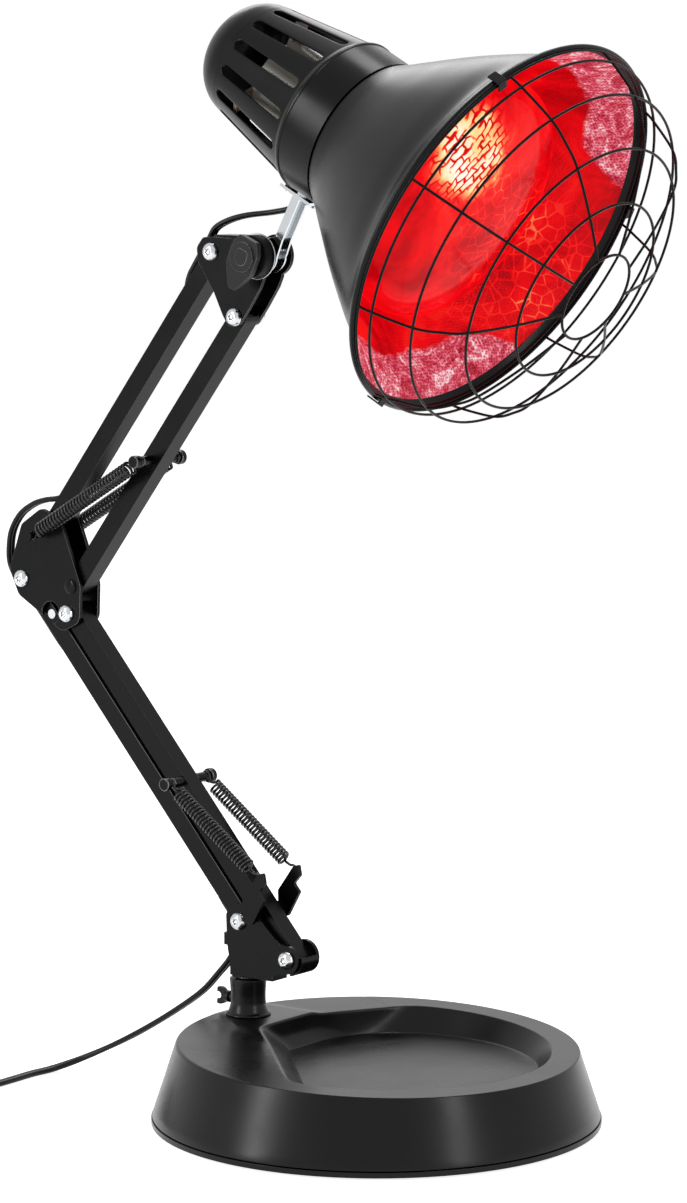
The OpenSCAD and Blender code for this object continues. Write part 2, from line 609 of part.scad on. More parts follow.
module wing_lever() color(black_paint) difference() {
  union() {
    rod_y(tilt, 14.4, -20.4, disc_front - 0.3);
    plate_xz(-19.4, -16.4) translate(tilt) rotate(246.5)
      polygon(rounded([[-9.6, -5.6, 2], [-4, -8.4, 5], [6, -8.2, 6], [16.8, -2.6, 1.5], [16.8, 2.2, 1.5], [6, 8.2, 6], [-4, 8.4, 5], [-9.6, 5.6, 2]]));
    plate_xz(-20.6, -19.2) translate(tilt) rotate(246.5)
      polygon(rounded([[-3.6, -3.4, 1.5], [3, -3.6, 3], [4.4, 0, 3], [3, 3.6, 3], [-3.6, 3.4, 1.5]]));
  }
  rod_y(tilt, tilt_bolt_diameter + 2*run_fit, -20, 0);
}

// Yoke in the head frame: x down from the axis, z along it
kx = tilt_local.x;
kz = tilt_local.y;
module leg(y0, y1, low) translate([0, y1, 0]) rotate([90, 0, 0]) linear_extrude(y1 - y0) intersection() {
  union() {
    translate([kx, kz]) circle(8.5);
    polygon([[flange_x + 0.5, -stem_back], [flange_x + 0.5, -stem_front], [kx - 12, -stem_front], [kx - 3, kz + 7.9], [kx - 3, kz - 7.9], [kx - 12, -stem_back]]);
  }
  translate([0, kz - 30]) square([kx + low, 60]);
}
module yoke() color(bright_steel) in_head() difference() {
  union() {
    translate([flange_x, -6, -120]) cube([1.5, 12, 20]);
    leg(-leg_out, -leg_in, 8.5);
    leg(leg_in, leg_out, 8.5);
    translate([flange_x + 0.5, -leg_out, -stem_back]) cube([kx - flange_x - 12, 2*leg_out, 1.2]);
    translate([kx, 0, kz]) rotate([0, head_tilt, 0]) {
      translate([7.2, -leg_in - 0.1, -2.5]) cube([4.6, 2*leg_in + 0.2, 5]);
      translate([11, -leg_out, -3.2]) cube([6.4, 2*leg_out, 6.4]);
    }
  }
  translate([kx, -big/2, kz]) rotate([-90, 0, 0]) cylinder(d = tilt_bolt_diameter + 2*run_fit, h = big);
  for (z = [-103, -117]) translate([flange_x - 1, 0, z]) rotate([0, 90, 0]) cylinder(d = 3.1, h = 4);
}
module yoke_screws() color(bright_steel) in_head() for (z = [-103, -117]) translate([housing_radius - 5, 0, z]) rotate([0, 90, 0]) {
  cylinder(d = 3, h = flange_x + 2 - housing_radius + 5);
  translate([0, 0, flange_x + 1.55 - housing_radius + 5]) cylinder(d = 5.4, h = 1.7);
}
module friction_spacers() color(black_rubber) both_sides() difference() {
  rod_y(tilt, 15, leg_out + 0.05, plate_in - 0.05);
  rod_y(tilt, tilt_bolt_diameter + 2*run_fit, -big, big);
}

// Lamp housing and shade as turned outlines [radius, depth]
function turned(p) = [for (q = p) [q.x, -q.y]];
housing_out = [[neck_radius, neck_depth + 1], [neck_radius, step_depth], [neck_radius - 0.9, step_depth + 0.9], [top_radius, taper_depth],
  [top_radius - 1.6, taper_depth + 6], [top_radius - 5.4, taper_depth + 12], [top_radius - 11, taper_depth + 16.6], [top_radius - 18, top_depth - 0.8], [0, top_depth]];
module lamp_housing() color(black_paint) in_head() difference() {
  union() {
    rotate_extrude($fn = 96) polygon(turned(concat(housing_out, [[0, top_depth - 1.2], [top_radius - 18.3, top_depth - 2],
      [top_radius - 11.8, taper_depth + 15.6], [top_radius - 6.4, taper_depth + 11.3], [top_radius - 2.8, taper_depth + 5.5], [top_radius - 1.2, taper_depth - 0.2],
      [neck_radius - 2.1, step_depth + 0.7], [neck_radius - 1.2, step_depth - 0.2], [neck_radius - 1.2, neck_depth + 1]])));
    for (z = [-103, -117]) translate([housing_radius - 4.4, 0, z]) rotate([0, 90, 0]) cylinder(d = 7, h = flange_x - housing_radius + 4.3);
  }
  for (k = [0:slot_count - 1]) rotate([0, 0, 194.8 + 360*k/slot_count]) {
    translate([20, -slot_width/2, -slot_end + slot_width/2]) cube([30, slot_width, slot_end - slot_start - slot_width]);
    for (z = [slot_start + slot_width/2, slot_end - slot_width/2]) translate([20, 0, -z]) rotate([0, 90, 0]) cylinder(d = slot_width, h = 30, $fn = 24);
  }
  for (z = [-103, -117]) translate([20, 0, z]) rotate([0, 90, 0]) cylinder(d = 3.1, h = 40);
}
flare = (shade_radius - 2 - neck_radius)/(91.2 - 39.3);
function flared(r) = neck_radius + (r - 39.3)*flare;
shade_out = [[flared(91.2), 4], [flared(86), 10], [flared(78), 26], [flared(65.6), 47], [flared(51), 69], [flared(43.5), 80], [neck_radius, neck_depth]];
module shade() color(black_paint) in_head() {
  rotate_extrude($fn = 128) polygon(turned(concat([[shade_radius - 0.6, 0.2], [shade_radius + 0.6, 0.6]], shade_out,
    [[neck_radius - 1.35, neck_depth + 0.4], [neck_radius - 1.35, neck_depth + 12], [neck_radius - 2.35, neck_depth + 12],
    [neck_radius - 2.35, neck_depth - 0.6]], [for (i = [5:-1:0]) [shade_out[i].x - shade_wall, shade_out[i].y - 0.6]])));
  rotate_extrude($fn = 128) translate([shade_radius, 0]) circle(1.4, $fn = 20);
}
module lampholder() color([0.88, 0.87, 0.83]) in_head() difference() {
  union() {
    translate([0, 0, -146]) cylinder(r = 20.5, h = 42);
    translate([0, 0, -150]) cylinder(r = 15, h = 5);
    for (a = [60:120:300]) rotate([0, 0, a]) translate([10, -4, -149]) cube([19.5, 8, 2]);
  }
  translate([0, 0, -134]) cylinder(d = 27.2, h = 40);
}
module bulb_cap() color([0.75, 0.7, 0.55]) in_head() {
  translate([0, 0, -131]) cylinder(d1 = 20, d2 = 26.6, h = 4);
  translate([0, 0, -127]) cylinder(d = 26.6, h = 23);
  translate([0, 0, -133.6]) cylinder(d = 9, h = 3);
}
k_bulb = bulb_radius/62;
bulb_out = [[12.9, 103.8], [15.5, 98], [18, 88], [25, 77], [k_bulb*37, 66], [k_bulb*50, 54], [k_bulb*59, 43], [k_bulb*62, 34],
  [k_bulb*61, 27], [k_bulb*56, 21.5], [k_bulb*44, 17], [k_bulb*24, 14], [0, 13]];
module bulb_glass() color([0.8, 0.1, 0.08]) in_head() rotate_extrude($fn = 96)
  polygon(turned(concat(bulb_out, [[0, 14.2]], [for (i = [11:-1:1]) [bulb_out[i].x - (i < 8 ? 1.1 : 0.6), bulb_out[i].y + (i < 8 ? -0.2 : 1)]], [[11.7, 103.8]])));

// Wire guard, rings and ribs [radius, distance in front of the rim]
rings = [[shade_radius - 0.3, 2.2], [shade_radius - 2, 9], [86, 27.8], [68, 45], [45, 54], [22, 60.5]];
rib = [[shade_radius - 0.3, 2.2], [shade_radius - 2, 9], [86, 27.8], [78, 37.4], [68, 45], [45, 54], [22, 60.5]];
function rib_side(s) = [for (i = [0:len(rib) - 1]) let (t = unit(rib[min(i + 1, len(rib) - 1)] - rib[max(i - 1, 0)])) rib[i] + s*[-t.y, t.x]];
module guard() color(black_paint) in_head() {
  for (r = rings) rotate_extrude($fn = 96) translate(r) circle(d = guard_wire, $fn = 10);
  h = guard_wire/2;
  outline = concat(rib_side(h), [for (i = [len(rib) - 1:-1:0]) rib_side(-h)[i]]);
  for (k = [0:guard_ribs - 1]) rotate([90, 0, 11 + 360*k/guard_ribs]) translate([0, 0, -h]) linear_extrude(guard_wire) polygon(outline);
}
clip_width = 5;
module guard_clips() color(bright_steel) in_head() for (a = [95, 215, 335]) rotate([0, 0, a]) translate([shade_radius, -clip_width/2, 0]) {
  translate([1.7, 0, -3.4]) cube([0.8, clip_width, 7.4]);
  translate([-2.6, 0, 3.3]) cube([5.1, clip_width, 0.7]);
}

// Free cord on the floor, its coil, tie and plug
floor_z = cord_thickness/2 + 0.05;
coil_centre = [post_x - 165, -72];
coil_inner = 21;
coil_outer = coil_inner + (coil_turns - 0.5)*coil_pitch;
coil_z = floor_z + 0.65;
layer_rise = cord_thickness + 0.35;
plug_z = 7.9;
coil_start = 285;
free_points = [[cord_x, 0, clip_low - 0.7], [cord_x - 0.3, 0, clip_low - 4], [cord_x - 4, 0, clip_low - 9.5], [cord_x - 10, 0, clip_low - 16],
  [cord_x - 20, -1, clip_low - 26.5], [cord_x - 36, -2, clip_low - 38], [cord_x - 54, -4, clip_low - 49.5], [cord_x - 70, -5, clip_low - 58.5],
  [cord_x - 84, -8, 10.5], [cord_x - 95, -14, 5], [cord_x - 101.5, -24, 2], [cord_x - 104, -36, floor_z], [cord_x - 103.5, -50, floor_z],
  [cord_x - 103.5, -64, floor_z], [cord_x - 106, -80, floor_z], [cord_x - 112, -94, floor_z]];
function spiral(i, n) =
  let (turn = i/24, out = turn < coil_turns ? coil_outer - coil_pitch*turn : coil_outer - coil_pitch*(2*coil_turns - turn),
    up = min(1, max(0, (turn - coil_turns + 0.25)*2)))
  [coil_centre.x + out*cos(coil_start - 15*i), coil_centre.y + out*sin(coil_start - 15*i), coil_z + up*layer_rise];
coil_rings = 24*(2*coil_turns - 1) + 7;
coil_loops = [for (i = [0:coil_rings]) spiral(i, coil_rings)];
coil_end = coil_loops[coil_rings];
tail_rise = plug_z - coil_end.z;
tail = [for (q = [[6, 0.1], [12, 0.5], [18, 0.9], [22, 1], [27, 1]]) coil_end + [0, q.x, tail_rise*q.y]];
coil_points = concat(coil_loops, tail);
coil_in = coil_points[0];
coil_run = unit(coil_in - coil_points[1]);
free_all = smooth(concat(free_points, [coil_in + 15*coil_run + [2, 2, 0], coil_in + 6*coil_run, coil_in + 0.1*coil_run]), 3);
module cord_free() color(black_rubber) flat_cord(free_all, level_wide(free_all), 8);
module cord_coil() color(black_rubber) flat_cord(coil_points, level_wide(coil_points), 6);
tie_low = coil_inner - cord_width/2 - 0.9;
tie_high = coil_outer;
tie_top = coil_z + layer_rise + cord_thickness/2 + 0.1;
module cord_tie() color(black_rubber) translate([coil_centre.x - 2, coil_centre.y, 0]) difference() {
  translate([0, tie_low - 0.7, 0]) cube([4, tie_high - tie_low + 1.4, tie_top + 0.6]);
  translate([-1, tie_low, 0.6]) cube([6, tie_high - tie_low, tie_top - 0.6]);
}
plug_end = coil_points[len(coil_points) - 1];
plug_outline = [[-6, 8, 2], [-12, 13, 4], [-12.5, 36, 3], [12.5, 36, 3], [12, 13, 4], [6, 8, 2]];
module plug_body() color(black_rubber) translate(plug_end) difference() {
  union() {
    translate([0, 0.02, 0]) rotate([-90, 0, 0]) cylinder(d1 = 8.6, d2 = 11.6, h = 10);
    translate([0, 0, -7.4]) linear_extrude(14.8) polygon(rounded(plug_outline));
  }
  for (s = [-1, 1]) translate([s*6.35 - 0.8, 24, -3.2]) cube([1.6, 20, 6.4]);
}
module plug_pins() color(bright_steel) translate(plug_end)
  for (s = [-1, 1]) translate([s*6.35 - 0.75, 24.1, -3.15]) difference() {
    cube([1.5, 28.9, 6.3]);
    translate([-1, 25.5, 3.15]) rotate([0, 90, 0]) cylinder(d = 3, h = 4);
  }

base_shell();
base_weight();
base_plate();
base_feet();
base_screws();
post_socket();
socket_nut();
cord_free();
cord_coil();
cord_tie();
plug_body();
plug_pins();
thumb_screw();
swivel_post();
lower_bracket();
lower_bolts();
lower_nuts();
lower_washers();
lower_cord_loop();
cord_clip();
lower_rear_tube();
cord_lower_run();
tube_screw();
lower_front_tube();
lower_spring_rod();
lower_rod_clips();
lower_springs();
elbow_front_plate();
elbow_rear_plate();
elbow_bolts();
elbow_nuts();
elbow_rivets();
elbow_washers();
elbow_spring_pin();
elbow_cord_loop();
upper_rear_tube();
cord_upper_run();
upper_front_tube();
upper_spring_rod();
upper_rod_clips();
upper_springs();
head_bracket();
head_bolts();
head_nuts();
head_washers();
friction_disc();
disc_washer();
tilt_bolt();
head_cord_loop();
wing_lever();
yoke();
yoke_screws();
friction_spacers();
lamp_housing();
shade();
lampholder();
bulb_glass();
bulb_cap();
guard();
guard_clips();
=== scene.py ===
# Swing arm heat lamp on a round weighted base. Metres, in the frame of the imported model; sizes below are in mm.
import bpy
import bmesh
import json
import math
from mathutils import Matrix, Vector

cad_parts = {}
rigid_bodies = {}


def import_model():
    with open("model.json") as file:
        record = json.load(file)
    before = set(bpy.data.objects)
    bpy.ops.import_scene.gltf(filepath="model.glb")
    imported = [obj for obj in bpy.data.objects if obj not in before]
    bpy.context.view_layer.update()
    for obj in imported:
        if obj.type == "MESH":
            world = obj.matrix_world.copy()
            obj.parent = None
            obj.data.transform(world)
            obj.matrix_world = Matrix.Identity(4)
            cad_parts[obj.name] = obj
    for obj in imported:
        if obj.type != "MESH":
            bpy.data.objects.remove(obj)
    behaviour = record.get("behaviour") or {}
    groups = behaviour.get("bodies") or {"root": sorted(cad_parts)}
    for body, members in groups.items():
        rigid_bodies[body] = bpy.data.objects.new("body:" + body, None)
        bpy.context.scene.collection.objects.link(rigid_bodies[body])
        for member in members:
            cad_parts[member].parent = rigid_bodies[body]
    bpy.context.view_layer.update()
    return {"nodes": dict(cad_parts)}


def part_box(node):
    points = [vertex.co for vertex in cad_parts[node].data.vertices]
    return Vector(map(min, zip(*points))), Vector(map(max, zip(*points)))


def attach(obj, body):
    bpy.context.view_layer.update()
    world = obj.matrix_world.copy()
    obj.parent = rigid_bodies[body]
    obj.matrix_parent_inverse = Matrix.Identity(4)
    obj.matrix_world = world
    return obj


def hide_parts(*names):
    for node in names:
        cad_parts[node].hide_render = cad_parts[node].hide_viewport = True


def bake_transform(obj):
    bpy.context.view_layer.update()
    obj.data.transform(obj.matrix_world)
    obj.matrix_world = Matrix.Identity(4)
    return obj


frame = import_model()
nodes = frame["nodes"]
scene = bpy.context.scene
mm = 0.001
print("frame loaded", len(nodes), "nodes")

# camera, at the photograph's place
view = {"place": (1.1994, -1.5581, 0.5079), "aim": (-0.01254, -0.00982, 0.25389), "lens": 124.5}
cameraData = bpy.data.cameras.new("photoCamera")
cameraData.sensor_fit = "VERTICAL"
cameraData.sensor_height = 36
cameraData.sensor_width = 36
cameraData.lens = view["lens"]
cameraData.clip_end = 30
camera = bpy.data.objects.new("photoCamera", cameraData)
camera.location = view["place"]
camera.rotation_euler = (Vector(view["aim"]) - Vector(view["place"])).to_track_quat("-Z", "Y").to_euler()
scene.collection.objects.link(camera)
scene.camera = camera

# small helpers


def linear(hexText):  # sRGB hex to the linear colour that the shaders want
    channels = [int(hexText[i:i + 2], 16) / 255 for i in (1, 3, 5)]
    return tuple(c / 12.92 if c < 0.04045 else ((c + 0.055) / 1.055) ** 2.4 for c in channels) + (1.0,)


def firstOutput(node):  # the first output in use
    return next(output for output in node.outputs if output.enabled)


def feed(tree, node, inputs):  # constants and links; a whole node stands for its first output
    for name, value in inputs.items():
        socket = node.inputs[name]
        if isinstance(value, bpy.types.Node):
            value = firstOutput(value)
        if isinstance(value, bpy.types.NodeSocket):
            tree.links.new(value, socket)
        else:
            socket.default_value = value


def put(tree, kind, inputs=None, **settings):  # one node with its settings, constants and links
    node = tree.nodes.new(kind)
    for name, value in settings.items():
        setattr(node, name, value)
    feed(tree, node, inputs or {})
    return node


def polar(r, angle):
    return Vector((r * math.cos(math.radians(angle)), r * math.sin(math.radians(angle))))


def smoothPath(points, steps):  # Catmull-Rom through the given points
    out = []
    last = len(points) - 1
    for i in range(last):
        a, b = points[max(i - 1, 0)], points[i]
        c, d = points[i + 1], points[min(i + 2, last)]
        for k in range(steps):
            t = k / steps
            square, cube = 2 * a - 5 * b + 4 * c - d, 3 * b - a - 3 * c + d
            out.append(0.5 * (2 * b + (c - a) * t + square * t * t + cube * t ** 3))
    out.append(points[last])
    return out


def meshObject(name, verts, faces, material=None, smoothAngle=35):
    mesh = bpy.data.meshes.new(name)
    mesh.from_pydata([tuple(v) for v in verts], [], faces)
    mesh.update()
    return finishMesh(name, mesh, material, smoothAngle)


def finishMesh(name, mesh, material, smoothAngle=35):
    if material is not None:
        mesh.materials.clear()
        mesh.materials.append(material)
        for polygon in mesh.polygons:
            polygon.material_index = 0
    mesh.shade_smooth()
    mesh.set_sharp_from_angle(angle=math.radians(smoothAngle))
    piece = bpy.data.objects.new(name, mesh)
    scene.collection.objects.link(piece)
    return piece


def outward(mesh):  # closed shapes: merge doubles and turn the faces out
    work = bmesh.new()
    work.from_mesh(mesh)
    bmesh.ops.remove_doubles(work, verts=work.verts, dist=1e-6)
    bmesh.ops.recalc_face_normals(work, faces=work.faces)
    work.to_mesh(mesh)
    work.free()


def lathe(profile, segments, closed=True):  # [radius, height] in mm turned about Z
    verts, faces = [], []
    for k in range(segments):
        c, s = math.cos(2 * math.pi * k / segments), math.sin(2 * math.pi * k / segments)
        verts += [Vector((r * c, r * s, z)) for r, z in profile]
    n = len(profile)
    for k in range(segments):
        m = (k + 1) % segments
        for i in range(n if closed else n - 1):
            j = (i + 1) % n
            faces.append((k * n + i, m * n + i, m * n + j, k * n + j))
    return verts, faces


def bands(rows, around, closed=False, start=0):  # quads between rows of points
    faces = []
    for i in range(rows if closed else rows - 1):
        a, b = start + i * around, start + (i + 1) % rows * around
        faces += [(a + k, a + (k + 1) % around, b + (k + 1) % around, b + k) for k in range(around)]
    return faces


def bend(a, b, c, reach, steps):  # the corner b cut back by reach and curved
    d = min(reach, 0.45 * (a - b).length, 0.45 * (c - b).length)
    s, e = b + (a - b).normalized() * d, b + (c - b).normalized() * d
    return [s * (1 - t) ** 2 + b * 2 * t * (1 - t) + e * t * t for t in [k / steps for k in range(steps + 1)]]


def roundCorners(profile, reach, steps=4):  # corners of an outline cut back and curved
    out = []
    n = len(profile)
    for i in range(n):
        a, b, c = (Vector(profile[(i + k) % n][:2]) for k in (-1, 0, 1))
        r = profile[i][2] if len(profile[i]) > 2 else reach
        if r <= 0:
            out.append(b)
            continue
        out += bend(a, b, c, r, steps)
    return out


def sweep(points, wides, section):  # section [wide, other] in mm carried along points
    verts = []
    n = len(points)
    for i in range(n):
        heading = (points[min(i + 1, n - 1)] - points[max(i - 1, 0)]).normalized()
        wide = (wides[i] - wides[i].dot(heading) * heading).normalized()
        other = heading.cross(wide)
        verts += [points[i] + wide * a + other * b for a, b in section]
    m = len(section)
    faces = bands(n, m)
    faces.append(tuple(reversed(range(m))))
    faces.append(tuple(range((n - 1) * m, n * m)))
    return verts, faces


def roundWire(points, radius, sides=10):
    section = [(radius * math.cos(2 * math.pi * k / sides),
                radius * math.sin(2 * math.pi * k / sides)) for k in range(sides)]
    wides = []
    wide = Vector((0, 1, 0)) if abs((points[1] - points[0]).normalized().y) < 0.9 else Vector((1, 0, 0))
    for i in range(len(points)):
        heading = (points[min(i + 1, len(points) - 1)] - points[max(i - 1, 0)]).normalized()
        wide = (wide - wide.dot(heading) * heading).normalized()
        wides.append(wide.copy())
    return sweep(points, wides, section)


def joined(parts):  # several (verts, faces) as one
    verts, faces = [], []
    for v, f in parts:
        faces += [tuple(i + len(verts) for i in face) for face in f]
        verts += list(v)
    return verts, faces


def metres(verts):
    return [Vector(v) * mm for v in verts]


def closedPiece(name, verts, faces, material, smoothAngle):  # a closed shape given in mm
    piece = meshObject(name, metres(verts), faces, material, smoothAngle)
    outward(piece.data)
    return piece


def settle(piece, body, slotName, *replaced):  # the body it rides on, its slot name, which is not used, and the CAD nodes that it stands for
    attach(piece, body)
    if replaced:
        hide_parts(*replaced)
    return piece


# a CAD node with its edges rounded; a second finish, if given, paints a highlight on the rounded edges
def softened(nodeName, name, material, body, slot, width=0.35, segments=2, edgeHighlightFinish=None):
    mesh = nodes[nodeName].data.copy()
    work = bmesh.new()
    work.from_mesh(mesh)
    bmesh.ops.remove_doubles(work, verts=work.verts, dist=2e-6)
    bmesh.ops.dissolve_degenerate(work, edges=work.edges, dist=1e-6)
    bmesh.ops.dissolve_limit(work, angle_limit=math.radians(1.0), verts=work.verts, edges=work.edges)
    work.to_mesh(mesh)
    work.free()
    mesh.name = name
    piece = finishMesh(name, mesh, material, 50)
    bevel = piece.modifiers.new("edgeRound", "BEVEL")
    bevel.width = width * mm
    bevel.segments = segments
    bevel.limit_method = "ANGLE"
    bevel.angle_limit = math.radians(38)
    bevel.use_clamp_overlap = True
    # a second finish paints a highlight on the bevel faces
    if edgeHighlightFinish is not None:
        mesh.materials.append(edgeHighlightFinish)
        bevel.material = 1
    level = piece.modifiers.new("flatFaces", "WEIGHTED_NORMAL")
    level.keep_sharp = True
    level.weight = 100
    baked = bpy.data.meshes.new_from_object(piece.evaluated_get(bpy.context.evaluated_depsgraph_get()))
    piece.modifiers.clear()
    piece.data = baked
    baked.name = name
    return settle(piece, body, slot, nodeName)


# Geometry Nodes


def newTree(name, sizes):  # a tree with named inputs, given as {name: (socket type, value)}
    tree = bpy.data.node_groups.new(name, "GeometryNodeTree")
    tree.interface.new_socket("Geometry", in_out="INPUT", socket_type="NodeSocketGeometry")
    tree.interface.new_socket("Geometry", in_out="OUTPUT", socket_type="NodeSocketGeometry")
    for label, (kind, value) in sizes.items():
        socket = tree.interface.new_socket(label, in_out="INPUT", socket_type=kind)
        if value is not None:
            socket.default_value = value
    return tree, put(tree, "NodeGroupInput"), put(tree, "NodeGroupOutput")


def closeTree(tree, groupOut, geometry):  # the last two nodes of every tree
    real = put(tree, "GeometryNodeRealizeInstances", {"Geometry": geometry})
    groupIn = [n for n in tree.nodes if n.bl_idname == "NodeGroupInput"][0]
    done = put(tree, "GeometryNodeSetMaterial", {"Geometry": real, "Material": groupIn.outputs["Material"]})
    feed(tree, groupOut, {"Geometry": done})


def runTree(tree, name, values, mesh=None, smoothAngle=35):  # a tree turned into one plain mesh object
    holder = bpy.data.objects.new(name + "Holder", mesh or bpy.data.meshes.new(name + "Points"))
    scene.collection.objects.link(holder)
    modifier = holder.modifiers.new(tree.name, "NODES")
    modifier.node_group = tree
    for item in tree.interface.items_tree:
        if item.item_type == "SOCKET" and item.in_out == "INPUT" and item.name in values:
            modifier[item.identifier] = values[item.name]
    baked = bpy.data.meshes.new_from_object(holder.evaluated_get(bpy.context.evaluated_depsgraph_get()))
    baked.name = name
    holder.modifiers.clear()
    bpy.data.objects.remove(holder)
    baked.shade_smooth()
    baked.set_sharp_from_angle(angle=math.radians(smoothAngle))
    piece = bpy.data.objects.new(name, baked)
    scene.collection.objects.link(piece)
    return piece


def makeSpringTree():
    tree, groupIn, groupOut = newTree("balanceSpring", {
        "Turns": ("NodeSocketFloat", 24.0), "Radius": ("NodeSocketFloat", 0.003), "Length": ("NodeSocketFloat", 0.06),
        "Wire Radius": ("NodeSocketFloat", 0.0005), "Material": ("NodeSocketMaterial", None)})
    spiral = put(tree, "GeometryNodeCurveSpiral", {
        "Resolution": 20, "Rotations": groupIn.outputs["Turns"], "Start Radius": groupIn.outputs["Radius"],
        "End Radius": groupIn.outputs["Radius"], "Height": groupIn.outputs["Length"]})
    section = put(tree, "GeometryNodeCurvePrimitiveCircle", {"Resolution": 8, "Radius": groupIn.outputs["Wire Radius"]})
    wire = put(tree, "GeometryNodeCurveToMesh", {"Curve": spiral, "Profile Curve": section, "Fill Caps": True})
    ends = put(tree, "GeometryNodeJoinGeometry")
    tree.links.new(groupIn.outputs["Geometry"], ends.inputs[0])
    tree.links.new(wire.outputs["Mesh"], ends.inputs[0])
    closeTree(tree, groupOut, ends)
    return tree


def makeRingArrayTree():
    tree, groupIn, groupOut = newTree("ringArray", {
        "Piece": ("NodeSocketObject", None), "Count": ("NodeSocketInt", 8), "First Angle": ("NodeSocketFloat", 0.0),
        "Material": ("NodeSocketMaterial", None)})
    points = put(tree, "GeometryNodePoints", {"Count": groupIn.outputs["Count"]})
    step = put(tree, "ShaderNodeMath", {0: 2 * math.pi, 1: groupIn.outputs["Count"]}, operation="DIVIDE")
    index = put(tree, "GeometryNodeInputIndex")
    turn = put(tree, "ShaderNodeMath", {0: index, 1: step, 2: groupIn.outputs["First Angle"]}, operation="MULTIPLY_ADD")
    axis = put(tree, "ShaderNodeCombineXYZ", {"Z": turn})
    piece = put(tree, "GeometryNodeObjectInfo", {"Object": groupIn.outputs["Piece"]})
    copies = put(tree, "GeometryNodeInstanceOnPoints", {
        "Points": points, "Instance": piece.outputs["Geometry"],
        "Rotation": put(tree, "FunctionNodeEulerToRotation", {"Euler": axis})})
    real = put(tree, "GeometryNodeRealizeInstances", {"Geometry": copies})
    welded = put(tree, "GeometryNodeMergeByDistance", {"Geometry": real, "Distance": 2e-6})
    closeTree(tree, groupOut, welded)
    return tree


def makeOnPointsTree():
    tree, groupIn, groupOut = newTree("piecesOnPoints", {
        "Piece": ("NodeSocketObject", None), "Twist": ("NodeSocketFloat", 0.4), "Seed": ("NodeSocketInt", 3),
        "Material": ("NodeSocketMaterial", None)})
    twist = put(tree, "FunctionNodeRandomValue", {"Max": groupIn.outputs["Twist"], "Seed": groupIn.outputs["Seed"]},
                data_type="FLOAT")
    turn = put(tree, "ShaderNodeCombineXYZ", {"Y": twist})
    piece = put(tree, "GeometryNodeObjectInfo", {"Object": groupIn.outputs["Piece"]})
    copies = put(tree, "GeometryNodeInstanceOnPoints", {
        "Points": groupIn.outputs["Geometry"], "Instance": piece.outputs["Geometry"],
        "Rotation": put(tree, "FunctionNodeEulerToRotation", {"Euler": turn})})
    closeTree(tree, groupOut, copies)
    return tree


def makeWireRingTree():
    tree, groupIn, groupOut = newTree("wireRings", {
        "Wire Radius": ("NodeSocketFloat", 0.00065), "Segments": ("NodeSocketInt", 96),
        "Material": ("NodeSocketMaterial", None)})
    circle = put(tree, "GeometryNodeCurvePrimitiveCircle", {"Resolution": groupIn.outputs["Segments"], "Radius": 1.0})
    radius = put(tree, "GeometryNodeInputNamedAttribute", {"Name": "ringRadius"}, data_type="FLOAT")
    scale = put(tree, "ShaderNodeCombineXYZ", {"X": radius, "Y": radius, "Z": radius})
    copies = put(tree, "GeometryNodeInstanceOnPoints", {
        "Points": groupIn.outputs["Geometry"], "Instance": circle, "Scale": scale})
    real = put(tree, "GeometryNodeRealizeInstances", {"Geometry": copies})
    section = put(tree, "GeometryNodeCurvePrimitiveCircle", {"Resolution": 8, "Radius": groupIn.outputs["Wire Radius"]})
    wire = put(tree, "GeometryNodeCurveToMesh", {"Curve": real, "Profile Curve": section})
    closeTree(tree, groupOut, wire)
    return tree


springTree = makeSpringTree()
ringArrayTree = makeRingArrayTree()
onPointsTree = makeOnPointsTree()
wireRingTree = makeWireRingTree()
print("node trees ready")

# materials


def newMaterial(name):
    material = bpy.data.materials.new(name)
    material.use_nodes = True
    tree = material.node_tree
    tree.nodes.clear()
    shader = put(tree, "ShaderNodeBsdfPrincipled")
    put(tree, "ShaderNodeOutputMaterial", {"Surface": shader.outputs["BSDF"]})
    place = put(tree, "ShaderNodeTexCoord").outputs["Object"]
    return material, tree, shader, place


driftMm = 38  # size of the slow drift of colour and gloss over a surface


def coated(name, colour, deeper, roughness, spread, grainMm, bumpMm, metallic=0.0, specular=0.5):
    # a paint, moulding or metal: colour drifts a little, gloss varies, and the skin has a fine grain
    material, tree, shader, place = newMaterial(name)
    cloud = put(tree, "ShaderNodeTexNoise", {
        "Vector": place, "Scale": 1000 / driftMm, "Detail": 3.0, "Roughness": 0.55})
    tone = put(tree, "ShaderNodeMix", {0: cloud, 6: linear(colour), 7: linear(deeper)}, data_type="RGBA")
    gloss = put(tree, "ShaderNodeMapRange", {
        "Value": cloud, "From Min": 0.3, "From Max": 0.7, "To Min": roughness - spread, "To Max": roughness + spread})
    grain = put(tree, "ShaderNodeTexNoise", {"Vector": place, "Scale": 1000 / grainMm, "Detail": 2.0, "Roughness": 0.6})
    bump = put(tree, "ShaderNodeBump", {"Height": grain, "Strength": 0.35, "Distance": bumpMm * mm})
    feed(tree, shader, {"Metallic": metallic, "Specular IOR Level": specular, "Base Color": tone, "Roughness": gloss,
                        "Normal": bump})
    return material


